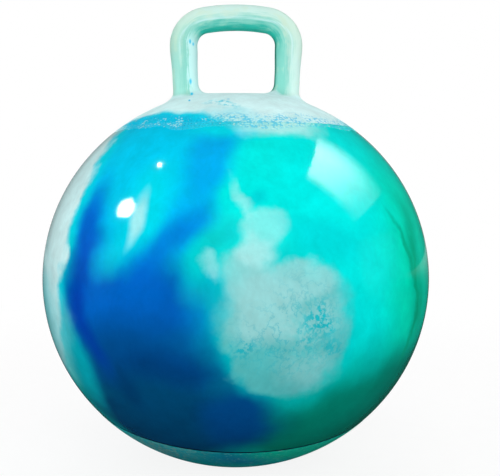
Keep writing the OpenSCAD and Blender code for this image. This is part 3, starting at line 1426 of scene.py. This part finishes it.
@dataclass
class Skin:
    """The ball's three skins: the marbled ball, the mottled base and the stippled crown.

    Attributes:
        form: The crown's form, which holds the ball's.
        valve: Where the valve sits.
        shoulder_radius: Radius of the line where the crown begins.
        base_radius: Radius of the moulding line in the solids, where it is level.
        line_rise: How much higher the looks' line is at the ball's axis.
        wall: Thickness of the skin.
        groove_depth: How far the skins roll inwards at the moulding line.
        groove_reach: How far from the line the roll begins.
        port_radius: Radius of the hole for the valve.
        port_reach: Radius of the skin's swelling around the valve.
        port_window: Half width of the square of the grid that the ring round the valve replaces, in faces.
        port_rows: Rows of that ring, before its rim.
        port_rim: Share of the ring at which its last, narrow row begins.
        rest_fillet: Reach of the fillet round the flat patch.
        columns: Faces round the ball.
        rows: Faces from shoulder to moulding line.
        base_square: Half width of the square grid in the middle of the base.
        base_columns: Faces along half of a side of that square.
        base_rows: Rows from the square to the roll at the moulding line.
        base_slant: Length along the skin for a unit of plan, next to the moulding line.
        step: Grid step of the crown.
        crown_half: Half width and half depth of the crown's grid, in steps.
        crown_rows: Rows from that grid to the shoulder, before the rim.
        leg_window: Half width of the square of the crown that a leg's root replaces, in steps.
        root_height: Height on the leg, above the saddle, at which crown and handle meet.
        root_rows: Rows up a root, before its rim.
        root_bend: How far outside the leg a root's lines turn upwards.
        rim_share: Share of the way at which the last, narrow row of crown and roots begins.
        edge_support: Distance from a rim of the row of points that keeps the shading square up to it.
    """

    form: CrownForm
    valve: ValvePlace
    shoulder_radius: float
    base_radius: float
    line_rise: float = 0.0225
    wall: float = 0.0012
    groove_depth: float = 0.0012
    groove_reach: float = 0.0022
    port_radius: float = 0.0132
    port_reach: float = 0.045
    port_window: int = 6
    port_rows: int = 10
    port_rim: float = 0.99
    rest_fillet: float = 0.0012
    columns: int = 240
    rows: int = 96
    base_square: float = 0.03
    base_columns: int = 24
    base_rows: int = 60
    base_slant: float = 1.4
    step: float = 0.0025
    crown_half: tuple[int, int] = (42, 18)
    crown_rows: int = 31
    leg_window: int = 16
    root_height: float = 0.02
    root_rows: int = 27
    root_bend: float = 0.003
    rim_share: float = 0.998
    edge_support: float = 0.0001

    @property
    def ball(self) -> BallForm:
        """The ball's face."""
        return self.form.ball

    @property
    def line(self) -> MouldLine:
        """The moulding line."""
        level = float(self.ball.over(np.array([self.base_radius, 0.0]), -1.0)[2])
        return MouldLine(level + self.line_rise)

    def swell(self, points: Array) -> Array:
        """Lifts the skin round the valve to the height of its seat, easing out at the swelling's edge."""
        gap = -self.ball.distance(self.valve.point[None])[0]
        share = smooth_step(self.valve.away(points), self.port_reach, self.port_radius)
        facing = (points - self.ball.middle) @ self.valve.axis > 0.0
        return points - (gap * share * facing)[..., None] * self.ball.outward(points)

    def roll(self, points: Array, away: Array) -> Array:
        """Rolls the skin inwards near the line: depth * (1 - sqrt(1 - (1 - s)^2)) at share s of the reach."""
        left = np.clip(1.0 - away / self.groove_reach, 0.0, 1.0)
        drop = self.groove_depth * (1.0 - np.sqrt(1.0 - left ** 2))
        return points - drop[..., None] * self.ball.outward(points)

    def edge_rows(self, turn: Array) -> Array:
        """Angles from the top down to the moulding line at each turn, closer where the skin rolls inwards."""
        end = math.pi - np.arcsin(self.line.radius(self.ball, turn) / self.ball.radius)
        start = 0.0 * turn + math.asin(self.shoulder_radius / self.ball.radius)
        roll = self.groove_reach / self.ball.radius
        support = start + self.edge_support / self.ball.radius
        plain = np.linspace(support, end - roll, self.rows)
        return np.concatenate([start[None], plain, end - roll * ROLL_ROWS[:, None]])

    def fan(self, edge: Array, circle: Array, shares: Array, side: float) -> Sheet:
        """Lays lines, straight in plan, from one loop out to another.

        Args:
            edge: The inner loop, in plan.
            circle: The outer loop, in plan.
            shares: Shares of the way out, one for each row.
            side: 1 for the ball's upper face, -1 for its lower one.

        Returns:
            The sheet between the loops, facing up.
        """
        return Sheet.grid(self.ball.over(lines_between(edge, circle, shares), side), wrap=True).turned_over()

    def build_ball(self) -> Sheet:
        """The ball between shoulder and moulding line: a grid round Z, with a ring round the valve."""
        turn = 2.0 * math.pi * np.arange(self.columns) / self.columns
        polar = self.edge_rows(turn)[::-1]
        points = self.ball.at(turn[None, :] + 0.0 * polar, polar)
        points = self.roll(points, (polar[0] - polar) * self.ball.radius)
        away = np.where(points[..., 1] < 0.0, np.inf, self.valve.away(points))
        row, column = np.unravel_index(np.argmin(away), away.shape)
        half = self.port_window
        loop = loop_of(np.arange(column - half, column + half + 1), np.arange(row - half, row + half + 1))
        hole = np.zeros((len(polar) - 1, self.columns), bool)
        hole[row - half:row + half, column - half:column + half] = True
        rim = points[loop[:, 1], loop[:, 0]]
        across, down = self.valve.sides()
        angle = np.arctan2((rim - self.valve.point) @ down, (rim - self.valve.point) @ across)[:, None]
        port = self.valve.point + self.port_radius * (np.cos(angle) * across + np.sin(angle) * down)
        ring = lines_between(rim, port, rim_shares(self.port_rim, self.port_rows))
        ring[1:] -= self.ball.distance(ring[1:])[..., None] * self.ball.outward(ring[1:])
        joined = Sheet.join([Sheet.grid(points, wrap=True).without(hole), Sheet.grid(ring, wrap=True)])
        return Sheet(self.swell(joined.points), joined.faces).walled(self.wall)

    def build_base(self) -> Sheet:
        """The base below the moulding line: a square grid, then lines out to the moulding line."""
        ticks = self.base_square * np.arange(-self.base_columns, self.base_columns + 1) / self.base_columns
        square = np.stack(np.meshgrid(ticks, ticks, indexing="xy"), axis=-1)
        loop = loop_of(ticks, ticks)
        circle = self.line.radius(self.ball, np.arctan2(loop[:, 1], loop[:, 0]))[:, None] * unit(loop)
        roll = self.groove_reach / self.base_radius
        shares = np.concatenate([np.linspace(0.0, 1.0 - roll, self.base_rows), 1.0 - roll * ROLL_ROWS])
        grid = Sheet.grid(self.ball.over(square, -1.0))
        sheet = Sheet.join([grid, self.fan(loop, circle, shares, -1.0)]).turned_over()
        plan = sheet.points[:, :2]
        edge = self.line.radius(self.ball, np.arctan2(plan[:, 1], plan[:, 0]))
        points = self.roll(sheet.points, (edge - np.linalg.norm(plan, axis=-1)) * self.base_slant)
        raised = -soft_min(-points[:, 2], np.zeros(len(points)), self.rest_fillet)
        points[:, 2] = np.maximum(raised - self.rest_fillet / 4.0, 0.0)
        return Sheet(points, sheet.faces).walled(self.wall)

    def window(self) -> tuple[Array, float]:
        """The edge in plan of the square that the right leg's root replaces, and its middle in X."""
        middle = self.step * round(self.form.loop.foot[0] / self.step)
        ticks = self.step * np.arange(-self.leg_window, self.leg_window + 1)
        return loop_of(middle + ticks, ticks), middle

    def root_angles(self) -> Array:
        """Angles of the points round a leg, from outwards towards the back."""
        loop, middle = self.window()
        return np.arctan2(loop[:, 1], loop[:, 0] - middle)

    def build_root(self) -> Sheet:
        """The right leg's root: curved lines from the window's edge to the ring where the handle begins."""
        edge, _ = self.window()
        angle, loop = self.root_angles()[:, None], self.form.loop
        ring = np.cos(angle) * upright(loop.leg_side) + np.sin(angle) * BACK
        high = upright(loop.foot + self.root_height * loop.leg_way) + loop.leg_radius * ring
        corner = self.ball.over(high[:, :2] + self.root_bend * ring[:, :2], 1.0)
        share = rim_shares(self.rim_share, self.root_rows)[:, None, None]
        return Sheet.grid(parabola(self.ball.over(edge, 1.0), corner, high, share), wrap=True)

    def build_crown(self) -> Sheet:
        """The crown: a grid with two windows, lines out to the shoulder's circle, and the legs' roots."""
        across, deep = (self.step * np.arange(-half, half + 1) for half in self.crown_half)
        grid = Sheet.grid(self.ball.over(np.stack(np.meshgrid(across, deep, indexing="xy"), axis=-1), 1.0))
        _, middle = self.window()
        span = self.step * self.leg_window
        at = grid.middles()
        holes = (np.abs(np.abs(at[:, 0]) - middle) < span) & (np.abs(at[:, 1]) < span)
        edge = loop_of(across, deep)
        pitch = 2.0 * math.pi / len(edge)
        turn = math.pi + pitch * (np.arange(len(edge)) + (len(deep) - 1) / 2.0)
        circle = self.shoulder_radius * np.stack([np.cos(turn), np.sin(turn)], axis=-1)
        ring = self.fan(edge, circle, rim_shares(self.rim_share, self.crown_rows), 1.0)
        root = self.build_root()
        joined = Sheet.join([grid.without(holes), ring, root, root.mirrored()])
        return Sheet(self.form.settle(joined.points), joined.faces)

    def pale_finish(self, name: str) -> PaleVinyl:
        """The finish that crown and handle share, under the name of one of them."""
        marbling = Marbling(Tint.CROWN, CROWN_POURS, tuple(self.ball.middle.tolist()))
        return PaleVinyl(name, marbling, ShoulderBand(), self.form.loop.saddle)

    def dress(self) -> None:
        """Builds the three skins and gives each its finish."""
        middle = tuple(self.ball.middle.tolist())
        marbling = Marbling(Tint.TURQUOISE, BALL_POURS, middle)
        gloss = GlossVinyl("marbled_vinyl", marbling, ShoulderBand(), self.line)
        make_piece(self.build_ball(), "ball_skin", "ball", gloss)
        mottled = BaseVinyl("base_vinyl", Marbling(Tint.TEAL, BASE_POURS, middle), self.line)
        make_piece(self.build_base(), "base_skin", "ball", mottled)
        sheet = self.build_crown()
        crown = make_piece(sheet.walled(self.wall), "crown_skin", "ball", self.pale_finish("stippled_vinyl"))
        add_place(crown, "grip", self.form.loop.leg_places(sheet.points))


@dataclass
class Handle:
    """The loop handle: a tube carried along the centre line.

    Attributes:
        loop: The centre line.
        start: Height on the legs, above the saddle, at which the handle begins.
        angles: Angles of the points round the tube, from outwards towards the back.
        spacing: Distance between rings.
        wall: Thickness of the tube's wall.
        bead_height: Height of the moulded bead that runs along the front and the back.
        bead_width: Half its width, in degrees round the tube.
        bead_bar: Its place on the bar, in degrees from the outside.
        bead_leg: Its place on the legs.
    """

    loop: LoopForm
    start: float
    angles: Array
    spacing: float = 0.0022
    wall: float = 0.0035
    bead_height: float = 0.0008
    bead_width: float = 5.0
    bead_bar: float = 100.0
    bead_leg: float = 76.0

    def bead(self, along: Array) -> Array:
        """The bead's share of its height, by ring and angle: a bell curve, fading towards the crown."""
        corner = self.loop.arch_radius * self.loop.arch_half
        leg = self.loop.half_length - self.loop.leg_length
        place = self.bead_bar + (self.bead_leg - self.bead_bar) * smooth_step(along, corner, leg)
        off = (np.degrees(np.abs(self.angles))[None, :] - place[:, None]) / self.bead_width
        fade = smooth_step(along, self.loop.half_length - self.start, leg)
        return fade[:, None] * np.exp(-off ** 2)

    def build(self) -> tuple[Sheet, Array, Array]:
        """Carries the section along the path: centre + radius * (cos * outward + sin * back).

        Returns:
            The tube, and two rows for each of its points: the place along and round the centre line, and the
            bead's share.
        """
        points, out, along = self.loop.half_path(self.start, self.spacing)
        bead = self.bead(along)
        mirror = np.array([-1.0, 1.0])
        centre = upright(both_ways(points, mirror))[:, None, :]
        outward = upright(both_ways(out, mirror))[:, None, :]
        radius = both_ways(self.loop.radius_at(along)[:, None] + self.bead_height * bead)[..., None]
        cosine, sine = np.cos(self.angles), np.sin(self.angles)
        facing = cosine[None, :, None] * outward + sine[None, :, None] * BACK
        sheet = Sheet.grid(centre + radius * facing, wrap=True).turned_over()
        grip = np.stack(np.broadcast_arrays(both_ways(along, -1.0)[:, None], cosine, sine), axis=-1)
        return sheet, grip.reshape(-1, 3), np.pad(both_ways(bead).reshape(-1, 1), ((0, 0), (0, 2)))

    def dress(self, finish: Finish) -> None:
        """Builds the handle and gives it its finish."""
        sheet, grip, bead = self.build()
        piece = make_piece(sheet.walled(self.wall), "handle_loop", "ball", finish)
        add_place(piece, "grip", grip)
        add_place(piece, "bead", bead)


@dataclass
class Valve:
    """The valve at the back: a seat moulded into the skin and a push-in plug.

    Attributes:
        place: Where the valve sits.
        hole_radius: Radius of the air hole.
        recess_radius: Radius of the recess for the plug's head.
        recess_depth: Depth of that recess.
        rim_radius: Outer radius of the seat's rim.
        rim_sag: How far the rim's outer edge lies below the plug's top.
        skin_depth: Depth of the skin's inner face at the rim.
        flange_radius: Outer radius of the flange under the skin.
        flange_top: Depth of the flange's upper side at its edge.
        flange_depth: Depth of the flange's lower side.
        tube_radius: Outer radius of the tube round the hole.
        tube_depth: Depth of the tube's end.
        notch_width: Width of the notch beside the plug's head.
        notch_ease: Width of the notch's sloping sides.
        head_radius: Radius of the plug's head.
        head_height: Thickness of the plug's head.
        head_shares: Radii of the dish's floor, the dish's rim and the flat top, as shares of the head's.
        dish_depth: Depth of the dish in the head.
        head_bevel: Height of the head's bevelled edge.
        stem_radius: Radius of the plug's stem.
        stem_length: Length of the plug's stem.
        rib_height: Height of the sealing ribs above the stem.
        rib_count: Number of sealing ribs.
        seat_round: Rounding of the seat's edges.
        plug_round: Rounding of the plug's edges.
        least_radius: Radius of a turned face's middle, left open by a hair so that no face is a point.
        columns: Faces round the axis.
    """

    place: ValvePlace
    hole_radius: float = 0.0045
    recess_radius: float = 0.01015
    recess_depth: float = 0.00255
    rim_radius: float = 0.01315
    rim_sag: float = 0.0004
    skin_depth: float = 0.0013
    flange_radius: float = 0.01815
    flange_top: float = 0.0016
    flange_depth: float = 0.00365
    tube_radius: float = 0.0085
    tube_depth: float = 0.01955
    notch_width: float = 0.007
    notch_ease: float = 0.0005
    head_radius: float = 0.01
    head_height: float = 0.0024
    head_shares: tuple[float, float, float] = (0.3, 0.45, 0.9)
    dish_depth: float = 0.0006
    head_bevel: float = 0.0008
    stem_radius: float = 0.00395
    stem_length: float = 0.017
    rib_height: float = 0.0005
    rib_count: int = 3
    seat_round: float = 0.0006
    plug_round: float = 0.0005
    least_radius: float = 1e-5
    columns: int = 192

    def turned(self, profile: Array, closed: bool) -> Array:
        """Turns a profile of (radius, height) pairs about the valve's axis."""
        angle = 2.0 * math.pi * np.arange(self.columns) / self.columns
        across, down = self.place.sides()
        ring = np.cos(angle)[:, None] * across + np.sin(angle)[:, None] * down
        rows = np.concatenate([profile, profile[:1]]) if closed else profile
        return self.place.point + rows[:, None, :1] * ring[None] + rows[:, None, 1:] * self.place.axis

    @staticmethod
    def rounded(corners: Array, radius: float, closed: bool, steps: int = 5, most: float = 0.45) -> Array:
        """Rounds a profile's corners by parabolas that start up to radius away.

        Args:
            corners: Corner points in order.
            radius: Distance from the corner at which its curve starts.
            closed: Whether the profile runs round to its start; the ends of an open one stay sharp.
            steps: Points on each curve.
            most: Largest share of a side that one curve takes up.

        Returns:
            The rounded profile.
        """
        ways = [np.roll(corners, shift, axis=0) - corners for shift in (1, -1)]
        lengths = [np.linalg.norm(way, axis=-1, keepdims=True) for way in ways]
        start, end = (corners + way * np.minimum(radius / size, most) for way, size in zip(ways, lengths))
        share = np.linspace(0.0, 1.0, steps)[None, :, None]
        curve = parabola(start[:, None], corners[:, None], end[:, None], share)
        if closed:
            return curve.reshape(-1, 2)
        return np.concatenate([corners[:1], curve[1:-1].reshape(-1, 2), corners[-1:]])

    def build_seat(self) -> Sheet:
        """The seat: one closed turned profile, lowered at the notch on the pole's side."""
        corners = np.array([
            [self.hole_radius, -self.tube_depth],
            [self.tube_radius, -self.tube_depth],
            [self.tube_radius, -self.flange_depth],
            [self.flange_radius, -self.flange_depth],
            [self.flange_radius, -self.flange_top],
            [self.rim_radius, -self.skin_depth],
            [self.rim_radius, -self.rim_sag],
            [self.recess_radius, -self.rim_sag / 2.0],
            [self.recess_radius, -self.recess_depth],
            [self.hole_radius, -self.recess_depth],
        ])
        profile = self.rounded(corners, self.seat_round, closed=True)
        return Sheet.grid(self.notched(self.turned(profile, closed=True)), wrap=True)

    def notched(self, points: Array) -> Array:
        """Lowers the rim to the recess's floor inside the notch, on the pole's side, with eased sides."""
        across, down = self.place.sides()
        offset = points - self.place.point
        half = self.notch_width / 2.0
        inside = smooth_step(np.abs(offset @ across), half, half - self.notch_ease)
        near = self.place.away(points) < self.rim_radius + self.notch_ease
        inside = inside * near * (offset @ down < 0.0)
        lower = np.maximum(offset @ self.place.axis + self.recess_depth, 0.0) * inside
        return points - lower[..., None] * self.place.axis

    def build_plug(self) -> Sheet:
        """The plug: a dished head, a stem with round ribs and a tapered tip, as one turned profile."""
        low, end = -self.head_height, -self.head_height - self.stem_length
        dish, rim, flat = (share * self.head_radius for share in self.head_shares)
        middles = low - self.stem_length / (self.rib_count + 1) * np.arange(1, self.rib_count + 1)
        ribs = self.rib_height * np.array([[0.0, 1.0], [1.0, 0.0], [0.0, -1.0]])
        ribs = np.stack([0.0 * middles + self.stem_radius, middles], axis=-1)[:, None] + ribs
        corners = np.array([
            [0.0, -self.dish_depth],
            [dish, -self.dish_depth],
            [rim, 0.0],
            [flat, 0.0],
            [self.head_radius, -self.head_bevel],
            [self.head_radius, low],
            [self.stem_radius, low],
            *ribs.reshape(-1, 2),
            [self.stem_radius, end + 2.0 * self.rib_height],
            [self.stem_radius - self.rib_height, end],
            [0.0, end],
        ])
        profile = self.rounded(corners, self.plug_round, closed=False)
        profile[[0, -1], 0] = self.least_radius
        return Sheet.grid(self.turned(profile[::-1], closed=False), wrap=True)

    def dress(self) -> None:
        """Builds seat and plug and gives each its finish."""
        vinyl = PlainPlastic("seat_vinyl", Tint.CROWN, Tint.FOAM, roughness=0.35)
        make_piece(self.build_seat(), "valve_seat", "ball", vinyl)
        plastic = PlainPlastic("plug_plastic", Tint.IVORY, Tint.DUST, roughness=0.3)
        make_piece(self.build_plug(), "valve_plug", "plug", plastic)


# The studio


class Shine(Enum):
    """How a lamp shows: as light without its reflection, or as its reflection without light."""

    NONE = 0
    ONLY = 1


@dataclass(frozen=True)
class Lamp:
    """One soft lamp, seen from the middle of the ball.

    Attributes:
        name: What the lamp is.
        turn: Degrees round from the front, plus to the right.
        tilt: Degrees above the ball's middle.
        distance: Distance from the ball's middle.
        size: Width and height of its face.
        watts: Power.
        shine: Whether shiny surfaces show it.
        is_round: Whether its face is an oval.
        fade: How much of its light is lost towards its lower edge. Such a lamp's two sides are soft too.
        full: Places across its face, from 0 to 1, at which the left and the right side's softness ends.
    """

    name: str
    turn: float
    tilt: float
    distance: float
    size: tuple[float, float]
    watts: float
    shine: Shine
    is_round: bool = False
    fade: float = 0.0
    full: tuple[float, float] = (0.2, 0.5)

    def hang(self, middle: Vector) -> None:
        """Adds the lamp, facing the ball's middle."""
        way = heading(self.turn, self.tilt)
        light = bpy.data.lights.new(self.name, "AREA")
        light.shape = "ELLIPSE" if self.is_round else "RECTANGLE"
        light.size, light.size_y = self.size
        light.energy = self.watts
        lamp = add_object(self.name, light)
        lamp.location = middle + way * self.distance
        lamp.rotation_euler = way.to_track_quat("Z", "Y").to_euler()
        lamp.visible_camera = False
        lamp.visible_glossy = self.shine is not Shine.NONE
        lamp.visible_diffuse = self.shine is not Shine.ONLY
        if self.fade:
            self.add_fade(light)

    def add_fade(self, light: bpy.types.Light) -> None:
        """Makes the lamp's face darker towards its lower edge, and soft towards both sides."""
        light.use_nodes = True
        graph = Graph(light.node_tree)
        across = graph.node("ShaderNodeNewGeometry", {}, {}, "Parametric")
        glow = 1.0 - self.fade * across.part("Y").step(1.0, 0.0)
        left, right = self.full
        glow = glow * across.part("X").step(0.0, left) * across.part("X").step(1.0, right)
        face = graph.node("ShaderNodeEmission", {}, {"Color": WHITE, "Strength": glow})
        graph.show(face, "ShaderNodeOutputLight")


@dataclass
class Studio:
    """Camera, lamps, floor and surroundings.

    Attributes:
        middle: The ball's middle.
        camera_distance: Distance of the camera from the ball's middle.
        camera_tilt: Height of the camera, in degrees above the ball's middle.
        aim: The point at the middle of the picture.
        lens: Focal length, for a sensor 36 mm wide.
        floor_size: Side of the floor.
        floor_tones: The floor's darker and lighter tone, and the tone that shiny surfaces mirror.
        floor_lift: How bright the floor shows to the camera before any light falls on it.
        floor_grain: Noise waves in a metre of the floor's tones.
        floor_fade: Distances at which the floor starts to turn into the white background and has done so.
        floor_mirror: Distances behind the ball at which shiny pieces start to mirror it white, and fully do.
        ambient: Light from all round.
        ambient_loss: How much of that light shiny surfaces do not mirror.
        backdrop_shine: How much of the white backdrop they mirror.
        backdrop_edge: How far back a direction points, out of 1, where the backdrop starts and is full.
    """

    middle: Vector
    camera_distance: float = 1.0
    camera_tilt: float = 6.8
    aim: tuple[float, float, float] = (0.0162, 0.0, 0.2612)
    lens: float = 60.2
    floor_size: float = 12.0
    floor_tones: tuple[float, float, float] = (0.12, 0.14, 0.02)
    floor_lift: float = 0.87
    floor_grain: float = 30.0
    floor_fade: tuple[float, float] = (0.45, 1.3)
    floor_mirror: tuple[float, float] = (1.0, 4.0)
    ambient: float = 0.16
    ambient_loss: float = 0.8
    backdrop_shine: float = 0.3
    backdrop_edge: tuple[float, float] = (0.9, 1.0)

    def set_camera(self) -> None:
        """Places the camera in front of the ball, looking at the aim."""
        data = bpy.data.cameras.new("camera")
        data.lens, data.sensor_width = self.lens, 36.0
        camera = add_object("camera", data)
        tilt = math.radians(self.camera_tilt)
        camera.location = self.middle + self.camera_distance * Vector((0.0, -math.cos(tilt), math.sin(tilt)))
        camera.rotation_euler = (Vector(self.aim) - camera.location).to_track_quat("-Z", "Y").to_euler()
        bpy.context.scene.camera = camera

    def lay_floor(self) -> None:
        """Lays a pale floor that keeps the ball's shadow and runs out into the white background."""
        half = self.floor_size / 2.0
        mesh = bpy.data.meshes.new("floor")
        corners = [(-half, -half, 0.0), (half, -half, 0.0), (half, half, 0.0), (-half, half, 0.0)]
        mesh.from_pydata(corners, [], [(0, 1, 2, 3)])
        floor = add_object("floor", mesh)
        made, graph = Graph.material("floor")
        place = graph.place()
        dark, pale, mirrored = ((tone, tone, tone, 1.0) for tone in self.floor_tones)
        tone = graph.blend(dark, pale, graph.noise(place, self.floor_grain))
        tone = graph.blend(tone, mirrored, graph.ray("Is Glossy Ray"))
        paper = graph.node("ShaderNodeBsdfDiffuse", {}, {"Color": tone})
        lift = graph.node("ShaderNodeEmission", {}, {"Strength": self.seen(graph, 0.0) * self.floor_lift})
        near = graph.node("ShaderNodeAddShader", {}, {0: paper, 1: lift})
        white = graph.node("ShaderNodeEmission", {}, {"Strength": 1.0})
        shown = self.seen(graph, place.part("Y").step(*self.floor_mirror))
        far = graph.length(place).step(*self.floor_fade) * shown
        graph.show(graph.node("ShaderNodeMixShader", {}, {0: far, 1: near, 2: white}))
        mesh.materials.append(made)

    def seen(self, graph: Graph, mirrored: Plug) -> Value:
        """How white the background shows: 1 to the camera and through clear pieces, less on shiny ones."""
        clear = graph.ray("Is Camera Ray").larger(graph.ray("Is Transmission Ray"))
        return clear.larger(self.backdrop_shine * graph.ray("Is Glossy Ray") * mirrored)

    def light(self, lamps: Sequence[Lamp]) -> None:
        """Hangs the lamps and sets the surroundings: a dim room with a white backdrop behind the ball."""
        for lamp in lamps:
            lamp.hang(self.middle)
        world = bpy.data.worlds.new("studio")
        world.use_nodes = True
        graph = Graph(world.node_tree)
        behind = graph.node("ShaderNodeTexCoord", {}, {}, "Generated").part("Y").step(*self.backdrop_edge)
        room = self.ambient * (1.0 - self.ambient_loss * graph.ray("Is Glossy Ray"))
        strength = room + (1.0 - room) * self.seen(graph, behind)
        sky = graph.node("ShaderNodeBackground", {}, {"Color": WHITE, "Strength": strength})
        graph.show(sky, "ShaderNodeOutputWorld")
        bpy.context.scene.world = world
        bpy.context.scene.view_settings.view_transform = "Standard"


LAMPS = (
    Lamp("front_fill", 6, 26, 2.2, (1.8, 1.4), 27.0, Shine.NONE),
    Lamp("back_fill", 180, 24, 2.2, (1.8, 1.4), 24.0, Shine.NONE),
    Lamp("top_fill", 0, 84, 1.6, (1.2, 1.2), 6.0, Shine.NONE),
    Lamp("left_fill", -82, 2, 1.8, (1.0, 1.0), 18.0, Shine.NONE),
    Lamp("right_fill", 86, 2, 1.8, (1.0, 1.0), 16.0, Shine.NONE),
    Lamp("low_fill", 0, -4, 1.4, (1.8, 0.2), 6.0, Shine.NONE),
    Lamp("soft_box", 95, 43.5, 1.5, (1.15, 0.8), 38.0, Shine.ONLY, fade=0.9),
    Lamp("left_flash", -73.5, 33.7, 1.5, (0.29, 0.24), 8.0, Shine.ONLY, is_round=True),
    Lamp("top_flash", -80.0, 57.0, 1.5, (0.06, 0.045), 1.7, Shine.ONLY, is_round=True),
)


# Sizes that no box in the frame gives: the saddle's depth below the ball's top and the flat patch's radius
SADDLE_CUT = 0.0003
REST_RADIUS = 0.042


def main() -> None:
    """Builds the ball, its handle and its valve, then the studio around them."""
    logging.basicConfig(level=logging.INFO, format="%(name)s: %(message)s")
    crown_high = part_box("crown_skin")[1]
    ball_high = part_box("ball_skin")[1]
    handle_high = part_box("handle_loop")[1]
    base_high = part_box("base_skin")[1]
    ball = BallForm(radius=ball_high.x, top=crown_high.z + SADDLE_CUT, rest_radius=REST_RADIUS)
    loop = LoopForm(saddle=crown_high.z, top=handle_high.z)
    valve = ValvePlace.from_frame()
    skin = Skin(CrownForm(ball, loop), valve, shoulder_radius=crown_high.x, base_radius=base_high.x)
    skin.dress()
    Handle(loop, skin.root_height, skin.root_angles()).dress(skin.pale_finish("handle_vinyl"))
    Valve(valve).dress()
    studio = Studio(Vector(ball.middle))
    studio.set_camera()
    studio.lay_floor()
    studio.light(LAMPS)


if __name__ == "__main__":
    main()
